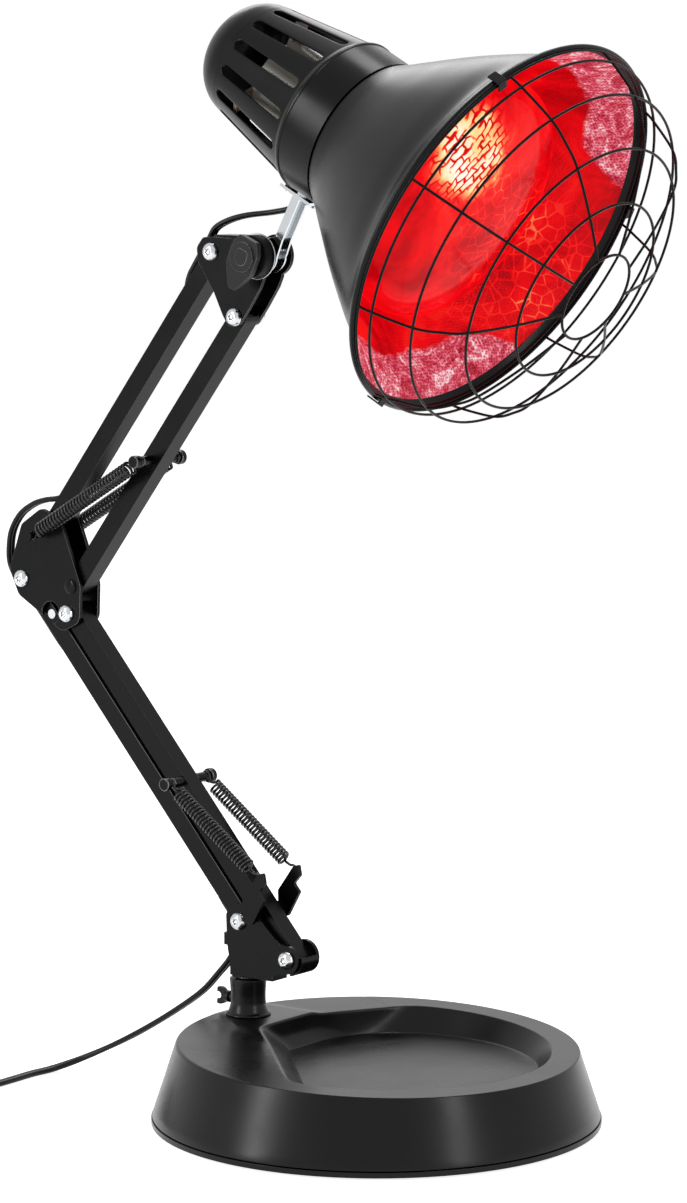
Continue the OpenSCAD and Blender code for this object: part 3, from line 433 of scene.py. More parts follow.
finishes = {
    # satin powder coat on pressed steel: soft broad reflections, a faint orange peel
    "armPaint": coated("satinPowderCoat", "#080809", "#050506", 0.27, 0.05, 0.9, 0.006, specular=0.12),
    # painted highlight on the rounded edges: a lighter, half metallic copy of the coat that stands in for light caught
    # along the edges
    "edgeHighlightPaint": coated("paintedEdgeHighlight", "#7a7a7d", "#48484b", 0.26, 0.06, 2.5, 0.002, metallic=0.5, specular=0.6),
    # moulded ABS base cover: satin black, very fine spark texture
    "basePlastic": coated("satinMouldedAbs", "#080809", "#050506", 0.28, 0.04, 0.35, 0.003, specular=0.2),
    # stoved enamel on the spun shade: smoother and a little glossier
    "shadeEnamel": coated("stovedBlackEnamel", "#080809", "#050506", 0.29, 0.04, 1.6, 0.003, specular=0.15),
    # gloss black of the guard wire and small clips
    "wirePaint": coated("glossDippedWire", "#070708", "#0a0a0b", 0.32, 0.05, 0.8, 0.004, specular=0.1),
    # zinc plated screws: bright, slightly milky
    "zinc": coated("zincPlatedSteel", "#d2d4d6", "#b4b7ba", 0.20, 0.05, 0.5, 0.004, metallic=1.0),
    # chromed yoke: nearly a mirror
    "chrome": coated("polishedChromePlate", "#d4d7d9", "#bfc3c6", 0.10, 0.03, 2.5, 0.003, metallic=1.0),
    # oiled spring wire: dark steel with bright glints
    "springWire": coated("oiledSpringSteel", "#0c0c0d", "#070708", 0.2, 0.04, 0.6, 0.002, specular=0.4),
    # cast iron ballast: dull and pitted
    "castIron": coated("rawCastIron", "#4a4846", "#3a3836", 0.70, 0.1, 1.8, 0.12, metallic=0.6),
    # rubber feet, friction disc and spacers
    "rubber": coated("mouldedRubber", "#0d0d0d", "#090909", 0.62, 0.05, 0.6, 0.02, specular=0.16),
    # PVC cord jacket: black with a soft sheen along the two lobes
    "cordPvc": coated("softPvcJacket", "#0a0a0a", "#070707", 0.32, 0.05, 1.2, 0.01, specular=0.2),
    # moulded plug and knob plastic
    "knobPlastic": coated("glassFilledNylon", "#0d0d0e", "#09090a", 0.40, 0.05, 0.5, 0.01, specular=0.2),
    # glazed steatite lampholder, its pale colour darkened as painted shade, for it sits in the shade of the slotted
    # housing
    "ceramic": coated("steatiteInPaintedShade", "#8b877d", "#6a665d", 0.22, 0.04, 3.0, 0.01),
    # brass lamp cap
    "brass": coated("stampedBrass", "#d9b566", "#c59f50", 0.24, 0.05, 0.7, 0.005, metallic=1.0),
    # nickel plated plug blades
    "nickel": coated("nickelPlatedBrass", "#d9d7d0", "#c9c6bd", 0.20, 0.05, 0.7, 0.004, metallic=1.0),
}
print("plain finishes ready")

# measures shared by several pieces, as in the part
link = {"p1": Vector((-79.5, 89.8)), "lowerLength": 213.2, "lowerAngle": 131.7, "upperLength": 176.2,
        "upperAngle": 52.4, "plateOut": 7.8, "postX": -80.0}
p1 = link["p1"]
p2 = p1 + polar(33.9, -27.4)
s1 = p1 + polar(link["lowerLength"], link["lowerAngle"])
s2 = p2 + polar(link["lowerLength"], link["lowerAngle"])
d1 = s1 + Vector((32.8, -1.8))
h1 = s1 + Vector((18.3, 29.2))
t1 = h1 + polar(link["upperLength"], link["upperAngle"])
t2 = d1 + polar(link["upperLength"], link["upperAngle"])
tilt = t1 + Vector((29, -1.3))
rimCentre = tilt + Vector((138.3, 15.1))
lowerRod = p2 + polar(106.3, link["lowerAngle"]) - polar(2.3, link["lowerAngle"] + 90)
upperRod = d1 + polar(84.1, link["upperAngle"])
spurTip = p1 + Vector((19.5, 23.2))
springPin = h1 + Vector((-5.5, -6))


def at(point, y=0.0):
    return Vector((point[0], y, point[1]))


def onBar(p, angle, along, out):
    q = p + polar(along, angle) + polar(out, angle + 90)
    return Vector((q.x, 0, q.y))


# down from the axis, out of the shade
headDown, headAhead = Vector((-0.47255, 0, -0.8813)), Vector((0.8813, 0, -0.47255))
inHead = Matrix.Translation(at(rimCentre) * mm) @ Matrix((headDown, Vector((0, 1, 0)), headAhead)).transposed().to_4x4()

# the flat twin cord
cordSize = {"width": 5.2, "thickness": 2.8, "length": 1.70, "coilCentre": (-245, -72), "coilOuter": 42, "coilPitch": 6,
            "layerTurns": 4, "coilStart": 285, "stepsPerTurn": 48, "floor": 1.45, "plugHeight": 7.9}
clipLow = p1.y - 13.5
cordX = p1.x - 8.8


def twinSection(width, thickness, perLobe=8):  # two round lobes side by side with a groove between
    r = thickness / 2
    c = width / 2 - r
    edge = math.degrees(math.acos(-c / r))
    section = []
    for side in (0, 180):
        for k in range(perLobe + 1):
            a = -edge + 2 * edge * k / perLobe
            lobe = polar(r, a + side)
            section.append((lobe.x + (c if side == 0 else -c), lobe.y))
    keep = []
    for q in section:
        if not keep or (Vector(q) - Vector(keep[-1])).length > 0.01:
            keep.append(q)
    if (Vector(keep[0]) - Vector(keep[-1])).length < 0.01:
        keep.pop()
    return keep


section = twinSection(cordSize["width"], cordSize["thickness"])


def levelWide(points):
    wides = []
    for i in range(len(points)):
        heading = points[min(i + 1, len(points) - 1)] - points[max(i - 1, 0)]
        wides.append(heading.cross(Vector((0, 0, 1))).normalized())
    return wides


def cordRoute():
    x, low, floor = cordX, clipLow, cordSize["floor"]
    free = [(x, 0, low - 0.7), (x - 0.3, 0, low - 4), (x - 4, 0, low - 9.5), (x - 10, 0, low - 16),
            (x - 20, -1, low - 26.5), (x - 36, -2, low - 38), (x - 54, -4, low - 49.5), (x - 70, -5, low - 58.5),
            (x - 84, -8, 10.5), (x - 95, -14, 5), (x - 101.5, -24, 2), (x - 104, -36, floor),
            (x - 103.5, -50, floor), (x - 103.5, -64, floor), (x - 106, -80, floor), (x - 112, -94, floor)]
    cx, cy = cordSize["coilCentre"]
    turns, pitch, outer = cordSize["layerTurns"], cordSize["coilPitch"], cordSize["coilOuter"]
    coil = []
    steps = cordSize["stepsPerTurn"]
    for i in range(steps * (2 * turns - 1) + 15):
        turn = i / steps
        out = outer - pitch * turn if turn < turns else outer - pitch * (2 * turns - turn)
        up = min(1, max(0, (turn - turns + 0.25) * 2))
        q = polar(out, cordSize["coilStart"] - 360 / steps * i)
        coil.append(Vector((cx + q.x, cy + q.y, floor + 0.65 + up * (cordSize["thickness"] + 0.35))))
    end = coil[-1]
    rise = cordSize["plugHeight"] - end.z
    tail = [end + Vector((0, a, rise * b)) for a, b in (
        (3, 0.02), (6, 0.1), (9, 0.28), (12, 0.5), (15, 0.72), (18, 0.9), (22, 1), (27, 1))]
    run = (coil[0] - coil[2]).normalized()
    free = [Vector(q) for q in free] + [coil[0] + 15 * run + Vector((2, 2, 0)), coil[0] + 6 * run, coil[0]]
    return smoothPath(free, 5)[:-1] + coil + tail


freeRoute = cordRoute()
routeLength = sum((b - a).length for a, b in zip(freeRoute, freeRoute[1:])) * mm
print("free cord", round(routeLength, 3), "m")


def cordPiece(name, points, wides):
    verts, faces = sweep(points, wides, section)
    piece = closedPiece(name, verts, faces, finishes["cordPvc"], 50)
    return piece


freeCord = cordPiece("freeCord", freeRoute, levelWide(freeRoute))
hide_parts("cord_free", "cord_coil")
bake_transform(freeCord)

# cord held on the arms, one piece for each body or joint that it follows
sideways = Vector((0, 1, 0))
lowerAngle, upperAngle = link["lowerAngle"], link["upperAngle"]
lowerLength, upperLength = link["lowerLength"], link["upperLength"]


def heldCord(name, points, steps=6):
    route = smoothPath(points, steps)
    return cordPiece(name, route, [sideways] * len(route))


lowRun = [(9, 6.6), (15, 6.55), (20, 5.9), (25, 3.6), (30, 1.4), (36, 0.5), (50, 0.2)]
highRun = [(lowerLength - a, b) for a, b in (
    (66, 0.2), (58, 0.6), (52, 1.6), (47, 3.8), (42, 6), (36, 6.55), (20, 6.6), (4, 6.6))]
lowerRun = heldCord("cordInLowerBar", [onBar(p1, lowerAngle, a, b) for a, b in lowRun + highRun])
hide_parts("cord_lower_run")
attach(lowerRun, "lower_rear_bar")
lowUpper = [(7.5, 9.2), (11.5, 5.9), (15.5, 2.9), (20, 0.8), (27, 0.1)]
highUpper = [(upperLength - a, b) for a, b in ((46, 0.1), (38, 0.6), (33, 2), (28.5, 4.6), (24, 7), (19.8, 8.1))]
upperRun = heldCord("cordInUpperBar", [onBar(h1, upperAngle, a, b) for a, b in lowUpper + highUpper])
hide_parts("cord_upper_run")
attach(upperRun, "upper_rear_bar")

lowerLoop = heldCord("lowerCordLoop", [
    onBar(p1, lowerAngle, 8.9, 6.6), onBar(p1, lowerAngle, 5.2, 6.9), Vector((cordX, 0, p1.y - 4.6)),
    Vector((cordX, 0, p1.y - 9)), Vector((cordX, 0, clipLow - 0.7))], 8)
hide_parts("lower_cord_loop")
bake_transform(lowerLoop)

elbowPoints = [onBar(h1, upperAngle, 7.4, 9.3)]
elbowPoints += [at(h1 + Vector(q)) for q in ((-7.5, 11), (-16, 8.4), (-25, 2.8), (-31, -5.5), (-33, -14), (-32.6, -23))]
elbowPoints += [at(s1 + Vector((-9.6, -1.5))), onBar(p1, lowerAngle, lowerLength, 6.8),
                onBar(p1, lowerAngle, lowerLength - 3.9, 6.6)]
loopSteps = 8
cut = 5 * loopSteps + 1  # where each loop is parted in two
elbowRoute = smoothPath(elbowPoints, loopSteps)
elbowLoopTop = cordPiece("elbowCordLoopTop", elbowRoute[:cut], [sideways] * cut)
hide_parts("elbow_cord_loop")
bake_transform(elbowLoopTop)
elbowLoopLow = cordPiece("elbowCordLoopLow", elbowRoute[cut - 1:], [sideways] * (len(elbowRoute) - cut + 1))
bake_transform(elbowLoopLow)

headPoints = [onBar(h1, upperAngle, upperLength - 19.7, 8.1), onBar(h1, upperAngle, upperLength - 10, 8.6)]
headPoints += [at(t1 + Vector((a, b)), y) for a, b, y in (
    (-6.6, 6.2, 0), (-3, 11.4, 0.4), (4.2, 15.2, 2), (13, 17.6, 4.6), (25.5, 19.2, 8), (37, 21.4, 9.5),
    (43.6, 24.6, 9.5), (46.4, 27.8, 9.5))]
headRoute = smoothPath(headPoints, loopSteps)
headLoopLow = cordPiece("headCordLoopLow", headRoute[:cut], [sideways] * cut)
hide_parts("head_cord_loop")
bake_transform(headLoopLow)
headLoopTop = cordPiece("headCordLoopTop", headRoute[cut - 1:], [sideways] * (len(headRoute) - cut + 1))
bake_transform(headLoopTop)
print("cords laid")

# base cover: floor, dish wall, platform and cone in one turned and bent skin
baseSize = {"footRadius": 110, "rimHeight": 38.2, "slope": 0.327, "tilt": 0.03, "dishX": 4, "dishFloor": 27,
            "dishRadius": 75, "draft": 0.73, "padTop": 41.8, "shellBottom": 4.3, "wall": 2.4, "lipRound": 2.4,
            "footRound": 3.4, "edgeRound": 1.7, "padReach": 75, "padFall": 7.6, "padBlend": 0.10, "rimBlend": 0.9,
            "rimDrop": 0.1, "innerTop": 33, "backWall": 62, "backLip": 58,
            "dishCuts": ((45, 38.9, 1.0355), (-27.2, 65.3, 0.0)), "cornerPower": 34, "steps": 420, "crowding": 0.62}
padTopOutline = [(-13.5, -8), (-6, -17), (8, -21), (35, -24), (35, 24), (-8, 24), (-14, 12)]
padFootOutline = [(-18, -13), (-10, -27), (8, -40), (30, -48), (48, -48), (48, 44), (10, 44), (-10, 34), (-17, 16)]
fan = []  # how far the two outlines reach in each direction
for k in range(90):
    way = polar(1, 4 * k)
    reachTop = max(way.dot(Vector(q)) for q in padTopOutline)
    reachFoot = max(way.dot(Vector(q)) for q in padFootOutline)
    fan.append((way, reachTop, reachFoot - reachTop))


def softMax(a, b, k):
    return 0.5 * (a + b + math.sqrt((a - b) ** 2 + k * k))


def coverTop(x, y):  # height of the rim and platform
    rim = baseSize["rimHeight"] - baseSize["tilt"] * x
    q = Vector((x - link["postX"], y))
    if q.length > baseSize["padReach"]:
        return rim
    fall = max((way.dot(q) - top) / span for way, top, span in fan)
    pad = baseSize["padTop"] - baseSize["padFall"] * softMax(fall, 0, baseSize["padBlend"])
    return softMax(rim, pad, baseSize["rimBlend"]) - baseSize["rimDrop"]


def wallReach(c, s, z):  # distance of the dish wall from the dish centre
    up = z - baseSize["dishFloor"]
    limits = [baseSize["dishRadius"] + baseSize["draft"] * up]
    if c < -1e-6:
        limits += [baseSize["backWall"] / -c, (baseSize["backLip"] + up) / -c]
    for angle, distance, steep in baseSize["dishCuts"]:  # straight cuts: direction, distance and lean
        n = polar(1, angle)
        facing = -(c * n.x + s * n.y)
        if facing > 1e-6:
            limits.append((distance + steep * up + baseSize["dishX"] * n.x) / facing)
    power = baseSize["cornerPower"]
    return sum(r ** -power for r in limits) ** (-1 / power)


def coverProfile(angle):
    c, s = math.cos(angle), math.sin(angle)
    gx, floor = baseSize["dishX"], baseSize["dishFloor"]

    def topAt(r):
        return coverTop(gx + r * c, r * s)

    def coneReach(z):  # distance to the cone side at height z
        side = baseSize["footRadius"] - baseSize["slope"] * z
        return -gx * c + math.sqrt(max(side * side - (gx * s) ** 2, 0))

    foot = wallReach(c, s, floor)
    lipZ = 38.0
    for _ in range(8):
        lipZ = topAt(wallReach(c, s, lipZ))
    lip = wallReach(c, s, lipZ)
    edgeZ = 38.0
    for _ in range(8):
        edgeZ = topAt(coneReach(edgeZ))
    edge = coneReach(edgeZ)
    heights = [floor + (lipZ - floor) * u for u in (0.12, 0.24, 0.36, 0.5, 0.65, 0.8, 0.9)]
    wall = [Vector((wallReach(c, s, z), z)) for z in heights]
    first, last = Vector((foot, floor)), Vector((lip, lipZ))
    rimPoints = [Vector((r, topAt(r))) for r in [lip + (edge - lip) * k / 24 for k in range(3, 23)]]
    out = [Vector((foot * u, floor)) for u in (0.25, 0.5, 0.72, 0.86)]
    out += bend(Vector((foot - 9, floor)), first, wall[0], baseSize["footRound"], 5)
    out += wall[1:-1]
    out += bend(wall[-2], last, rimPoints[0], baseSize["lipRound"], 5)
    out += rimPoints
    bottom = Vector((coneReach(baseSize["shellBottom"]), baseSize["shellBottom"]))
    out += bend(rimPoints[-1], Vector((edge, edgeZ)), bottom, baseSize["edgeRound"], 5)
    out += [Vector((coneReach(z), z)) for z in (28, 18, 9)]
    out += bend(Vector((coneReach(9), 9)), bottom, bottom - Vector((3, 0)), 0.5, 2)
    inner, innerTop = baseSize["wall"] + 0.05, baseSize["innerTop"]
    out += [bottom - Vector((inner, 0)), Vector((coneReach(innerTop) - inner, innerTop)),
            Vector((lip + inner, innerTop)), Vector((foot + 2, floor - inner))]
    return out


def makeBaseCover():
    turns = [2 * math.pi * k / baseSize["steps"] for k in range(baseSize["steps"])]
    angles = [a + baseSize["crowding"] * math.sin(a) for a in turns]  # finer round the platform
    verts, faces = [], []
    rows = [coverProfile(a) for a in angles]
    n = len(rows[0])
    for a, row in zip(angles, rows):
        verts += [Vector((baseSize["dishX"] + q.x * math.cos(a), q.x * math.sin(a), q.y)) for q in row]
    count = len(rows)
    for k in range(count):
        m = (k + 1) % count
        faces += [(k * n + i, m * n + i, m * n + i + 1, k * n + i + 1) for i in range(n - 1)]
    for row, height in ((0, baseSize["dishFloor"]), (n - 1, baseSize["dishFloor"] - baseSize["wall"] - 0.05)):
        centre = len(verts)
        verts.append(Vector((baseSize["dishX"], 0, height)))
        faces += [(k * n + row, ((k + 1) % count) * n + row, centre) for k in range(count)]
    return closedPiece("baseCover", verts, faces, finishes["basePlastic"], 42)


baseCover = makeBaseCover()
settle(baseCover, "base", "black_paint", "base_shell")
print("base cover", len(baseCover.data.polygons), "faces")


def turnedPiece(name, profile, segments, material, body, slotName, replaced, place=None, closed=True, smoothAngle=35):
    verts, faces = lathe(profile, segments, closed)
    piece = meshObject(name, metres(verts), faces, material, smoothAngle)
    if place is not None:
        piece.data.transform(place)
    outward(piece.data)
    piece.data.set_sharp_from_angle(angle=math.radians(smoothAngle))
    return settle(piece, body, slotName, *replaced)


# collar of the post: a moulded sleeve with a waist and a flared foot
collarSize = {"top": 60.5, "radius": 9.1, "bore": 6.6, "foot": 41.86}
z0, zt, r = collarSize["foot"], collarSize["top"], collarSize["radius"]
collarProfile = roundCorners([
    (collarSize["bore"], 31, 0.2), (8, 31, 0.2), (8, z0, 0), (11.2, z0, 0.4), (11.2, z0 + 0.9, 0.5),
    (10.1, z0 + 1.7, 0.6), (9.5, z0 + 3.2, 1), (8.75, z0 + 5.6, 1.2), (8.6, z0 + 10.5, 2), (r, zt - 2.2, 1.5),
    (r + 0.1, zt, 0.7), (7.9, zt, 0.5), (7.5, zt - 1.1, 0.3), (collarSize["bore"], zt - 1.2, 0.2)], 0.5, 4)
turnedPiece("postCollar", [tuple(q) for q in collarProfile], 96, finishes["basePlastic"], "base", "black_paint",
            ["post_socket"], Matrix.Translation((link["postX"] * mm, 0, 0)))

# thumb screw: short neck and a cast C shaped wing
wing = {"start": 8.9, "height": 49.0, "outer": (4.4, 8.6), "inner": (1.9, 9.6), "halfThick": 1.1}
shankProfile = roundCorners([
    (0.01, -3, 0), (2, -3, 0.2), (2, 2.4, 0), (2.9, 2.4, 0.3), (2.9, 5.2, 0.4), (0.01, 5.6, 0)], 0.3, 3)
verts, faces = lathe([tuple(q) for q in shankProfile], 32)
(outerRadius, outerAt), (innerRadius, innerAt), half = wing["outer"], wing["inner"], wing["halfThick"]
wingShape = [polar(outerRadius, a) + Vector((0, outerAt)) for a in range(-205, 26, 15)]
wingShape += [polar(innerRadius, a) + Vector((0, innerAt)) for a in range(20, -201, -20)]
sheet = [(Vector((q.x, -half, q.y)), Vector((q.x, half, q.y))) for q in wingShape]
wingVerts = [v for pair in sheet for v in pair]
m = len(sheet)
wingFaces = [(2 * i, 2 * i + 1, 2 * ((i + 1) % m) + 1, 2 * ((i + 1) % m)) for i in range(m)]
wingFaces += [tuple(2 * i for i in range(m)), tuple(2 * i + 1 for i in reversed(range(m)))]
verts, faces = joined([(verts, faces), (wingVerts, wingFaces)])
thumb = closedPiece("thumbScrewWing", verts, faces, finishes["knobPlastic"], 40)
thumbPlace = Matrix.Translation(Vector((link["postX"] - wing["start"], 0, wing["height"])) * mm)
thumb.data.transform(thumbPlace @ Matrix.Rotation(math.radians(-90), 4, "Y"))
settle(thumb, "thumb_screw", "black_paint", "thumb_screw")

# CAD nodes whose shape stays, with their edges rounded; on the painted ones the rounded edges carry a painted highlight
paintJobs = [
    ("swivel_post", "swivelPost", "swivel", 0.4), ("lower_bracket", "lowerBracket", "swivel", 0.32),
    ("cord_clip", "cordClip", "swivel", 0.4), ("lower_rear_tube", "lowerRearBar", "lower_rear_bar", 0.75),
    ("lower_front_tube", "lowerFrontBar", "lower_front_bar", 0.75),
    ("lower_rod_clips", "lowerRodClips", "lower_front_bar", 0.45),
    ("elbow_front_plate", "elbowFrontPlate", "elbow", 0.45), ("elbow_rear_plate", "elbowRearPlate", "elbow", 0.45),
    ("upper_rear_tube", "upperRearBar", "upper_rear_bar", 0.75),
    ("upper_front_tube", "upperFrontBar", "upper_front_bar", 0.75),
    ("upper_rod_clips", "upperRodClips", "upper_front_bar", 0.45), ("head_bracket", "headBracket", "head_bracket", 0.4)]
for nodeName, name, body, width in paintJobs:
    softened(nodeName, name, finishes["armPaint"], body, "black_paint", width, 2, finishes["edgeHighlightPaint"])
softened("wing_lever", "wingLever", finishes["knobPlastic"], "wing_lever", "black_paint", 0.5, 2, finishes["edgeHighlightPaint"])
softened("friction_disc", "frictionDisc", finishes["rubber"], "head_bracket", "black_rubber", 0.4)
softened("disc_washer", "discWasher", finishes["zinc"], "head_bracket", "bright_steel", 0.12)
softened("yoke", "yokeArm", finishes["chrome"], "head", "chrome", 0.4, 3)
softened("guard_clips", "guardClips", finishes["wirePaint"], "head", "black_paint", 0.2)
softened("base_plate", "basePlate", finishes["basePlastic"], "base", "black_paint", 0.3)
print("edges rounded")

# springs, through one node tree
springSize = {"wire": 0.7, "radius": 3.3, "lowerTurns": 27.0, "upperTurns": 31.0, "offset": 13.8,
              "lowerLead": 5.5, "upperLeads": (4.5, 5.0), "spurGap": 4.2, "pinGap": 1.6}


def balanceSpring(name, a, b, leadA, leadB, turns, side):
    start, end = at(a, side * springSize["offset"]), at(b, side * springSize["offset"])
    axis = (end - start).normalized()
    up = Vector((0, 1, 0))
    turn = Matrix((up.cross(axis), up, axis)).transposed().to_4x4()
    long = (end - start).length
    r = springSize["radius"]
    # end hooks in the spring's own frame: from the last coil to the axis and round the pin
    low = [(r, 0, leadA), (r * 0.8, -r * 0.55, leadA - 0.5), (r * 0.2, -r * 0.4, leadA - 1.4), (0, 0, leadA - 2.6),
           (0.3, 0, 1.4), (1.6, 0, -0.4), (1.5, 0, -2.2), (0, 0, -3.1), (-1.5, 0, -2.2), (-1.7, 0, -0.6)]
    last = long - leadB
    high = [(r, 0, last), (r * 0.8, r * 0.55, last + 0.5), (r * 0.2, r * 0.4, last + 1.4), (0, 0, last + 2.6),
            (0.3, 0, long - 1.6), (2.1, 0, long + 0.6), (2.2, 0, long + 2.4), (0, 0, long + 3.9), (-2.2, 0, long + 2.4),
            (-2.2, 0, long + 0.5)]
    verts, faces = joined([roundWire(smoothPath([Vector(q) for q in hook], 4), springSize["wire"], 8)
                           for hook in (low, high)])
    ends = bpy.data.meshes.new(name + "Ends")
    ends.from_pydata([tuple(v) for v in metres(verts)], [], faces)
    ends.transform(Matrix.Translation((0, 0, -leadA * mm)))
    piece = runTree(springTree, name, {
        "Turns": turns, "Radius": r * mm, "Length": (long - leadA - leadB) * mm,
        "Wire Radius": springSize["wire"] * mm, "Material": finishes["springWire"]}, ends, 60)
    piece.data.transform(Matrix.Translation(start * mm) @ turn @ Matrix.Translation((0, 0, leadA * mm)))
    outward(piece.data)
    return piece


lowerWay, upperWay = (lowerRod - spurTip).normalized(), (upperRod - springPin).normalized()
pinGap, lowerLead = springSize["pinGap"], springSize["lowerLead"]
lowerStart, lowerEnd = spurTip + lowerWay * springSize["spurGap"], lowerRod - lowerWay * pinGap
upperStart, upperEnd = springPin + upperWay * pinGap, upperRod - upperWay * pinGap
for label, side in (("Front", -1), ("Rear", 1)):
    lower = balanceSpring("lowerSpring" + label, lowerStart, lowerEnd, lowerLead, lowerLead, springSize["lowerTurns"],
                          side)
    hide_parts("lower_springs")
    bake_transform(lower)
    upper = balanceSpring("upperSpring" + label, upperStart, upperEnd, *springSize["upperLeads"],
                          springSize["upperTurns"], side)
    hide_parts("upper_springs")
    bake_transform(upper)
print("springs wound")

# screws, nuts and rivets: one shape each, set on points


def hidden(piece):  # a pattern piece for a tree: used, then removed
    piece.hide_render = True
    return piece


def panHeadShape():  # axis along Y, head toward -Y, with a six lobe recess
    y = -(link["plateOut"] + 0.1)
    head = [(2.0, 0), (4.35, 0), (4.55, 0.25), (4.5, 0.7), (4.15, 1.5), (3.4, 2.25), (2.5, 2.7), (1.75, 2.82)]
    segs = 36
    verts, faces = [], []
    rings = head + [(1.55, 2.75), (1.45, 1.7), (0.9, 1.55)]
    for i, (radius, height) in enumerate(rings):
        for k in range(segs):
            a = 2 * math.pi * k / segs
            lobe = 1 + (0.17 * math.cos(6 * a) if i >= len(head) - 1 else 0)
            verts.append(Vector((radius * lobe * math.cos(a), y - height, radius * lobe * math.sin(a))))
    for i in range(len(rings) - 1):
        for k in range(segs):
            j = (k + 1) % segs
            faces.append((i * segs + k, (i + 1) * segs + k, (i + 1) * segs + j, i * segs + j))
    faces.append(tuple((len(rings) - 1) * segs + k for k in range(segs)))
    shank, shankFaces = lathe([(0.01, -13.0), (2, -13.0), (2, 7.9), (0.01, 7.9)], 24)
    shank = [Vector((v.x, -v.z, v.y)) for v in shank]
    return joined([(verts, faces), (shank, shankFaces)])


def lockNutShape():  # hexagon with chamfers and a round collar, behind the rear plate
    y = link["plateOut"] + 0.1
    verts = []
    segs = 36
    rings = [(2.2, 0, 0), (3.4, 0, 0), (4.04, 0.35, 1), (4.04, 2.9, 1), (3.5, 3.25, 0), (3.2, 3.3, 0), (3.1, 4.3, 0),
             (2.8, 4.5, 0), (2.2, 4.5, 0)]
    for radius, height, hexed in rings:
        for k in range(segs):
            a = 2 * math.pi * k / segs
            corner = 1.0
            if hexed:
                b = (math.degrees(a) % 60) - 30
                corner = math.cos(math.radians(30)) / math.cos(math.radians(b))
            verts.append(Vector((radius * corner * math.cos(a), y + height, radius * corner * math.sin(a))))
    return verts, bands(len(rings), segs, True)


def rivetShape():  # low domed heads on both plates
    parts = []
    for side in (-1, 1):
        v, f = lathe([(0.01, 0), (3.8, 0), (3.8, 0.35), (3.3, 0.75), (2.2, 0.98), (0.01, 1.0)], 32)
        parts.append(([Vector((q.x, side * (link["plateOut"] + 0.06 + q.z), q.y)) for q in v], f))
    v, f = lathe([(0.01, -7.8), (2, -7.8), (2, 7.8), (0.01, 7.8)], 24)
    parts.append(([Vector((q.x, q.z, q.y)) for q in v], f))
    return joined(parts)


shapes = {}
for shapeName, maker in (("panHead", panHeadShape), ("lockNut", lockNutShape), ("lowRivet", rivetShape)):
    verts, faces = maker()
    shapes[shapeName] = hidden(closedPiece(shapeName + "Pattern", verts, faces, None, 40))


def onPoints(name, shape, points, material, body, slotName, replaced, seed=3, twist=1.0):
    mesh = bpy.data.meshes.new(name + "Points")
    mesh.from_pydata([tuple(at(p) * mm) for p in points], [], [])
    piece = runTree(onPointsTree, name, {"Piece": shapes[shape], "Twist": twist, "Seed": seed, "Material": material},
                    mesh, 38)
    return settle(piece, body, slotName, *replaced)


for label, body, points, seed in (("lower", "swivel", (p1, p2), 3), ("elbow", "elbow", (s1, s2), 8),
                                  ("head", "head_bracket", (t1, t2), 12)):
    onPoints(label + "PanBolts", "panHead", points, finishes["zinc"], body, "bright_steel", [label + "_bolts"], seed)
    onPoints(label + "LockNuts", "lockNut", points, finishes["zinc"], body, "bright_steel", [label + "_nuts"], seed + 1)
onPoints("elbowRivets", "lowRivet", (h1, d1), finishes["armPaint"], "elbow", "black_paint", ["elbow_rivets"], 5)
print("fasteners set")

# shade and lamp housing
headSize = {"rim": 95.2, "neck": 39.3, "neckDepth": 87, "stepDepth": 109, "taperDepth": 164, "topRadius": 29.6,
            "slotCount": 14, "slotWidth": 5.5, "slotStart": 113, "slotEnd": 160, "wall": 1.1, "firstSlot": 194.8,
            "bead": 1.45, "bossDepths": (103, 117)}
shadeCurve = [(95.3, 1.0), (93.3, 3.6), (91.4, 5.2), (86, 11), (78, 26), (65.6, 47), (51, 69), (43.5, 80), (39.6, 86.4)]
dense = smoothPath([Vector(q) for q in shadeCurve], 6)
wallNormals = []
for i in range(len(dense)):
    along = (dense[min(i + 1, len(dense) - 1)] - dense[max(i - 1, 0)]).normalized()
    wallNormals.append(Vector((-along.y, along.x)) if along.x < 0 else Vector((along.y, -along.x)))
inside = [q - Vector((abs(n.x), n.y if n.x > 0 else -n.y)) * headSize["wall"] for q, n in zip(dense, wallNormals)]
neckIn, neckStep, neckEnd = headSize["neck"] - 2.35, headSize["neck"] - 1.35, 99
bead = [Vector((headSize["rim"], 0)) + polar(headSize["bead"], a) for a in range(150, -61, -15)]
shadeProfile = [(q.x, -q.y) for q in inside[1:]][::-1] + [(q.x, q.y) for q in bead] + [(q.x, -q.y) for q in dense[1:]]
shadeProfile += [(headSize["neck"], -86.9), (neckStep, -87.3), (neckStep, -neckEnd), (neckIn, -neckEnd),
                 (neckIn, -86.2)]
turnedPiece("spunShade", shadeProfile, 160, finishes["shadeEnamel"], "head", "black_paint", ["shade"], inHead, True, 50)


def housingRadius(depth):
    if depth <= headSize["stepDepth"]:
        return headSize["neck"]
    t = (depth - headSize["stepDepth"] - 0.9) / (headSize["taperDepth"] - headSize["stepDepth"] - 0.9)
    return headSize["neck"] - 0.9 + (headSize["topRadius"] - headSize["neck"] + 0.9) * max(t, 0)


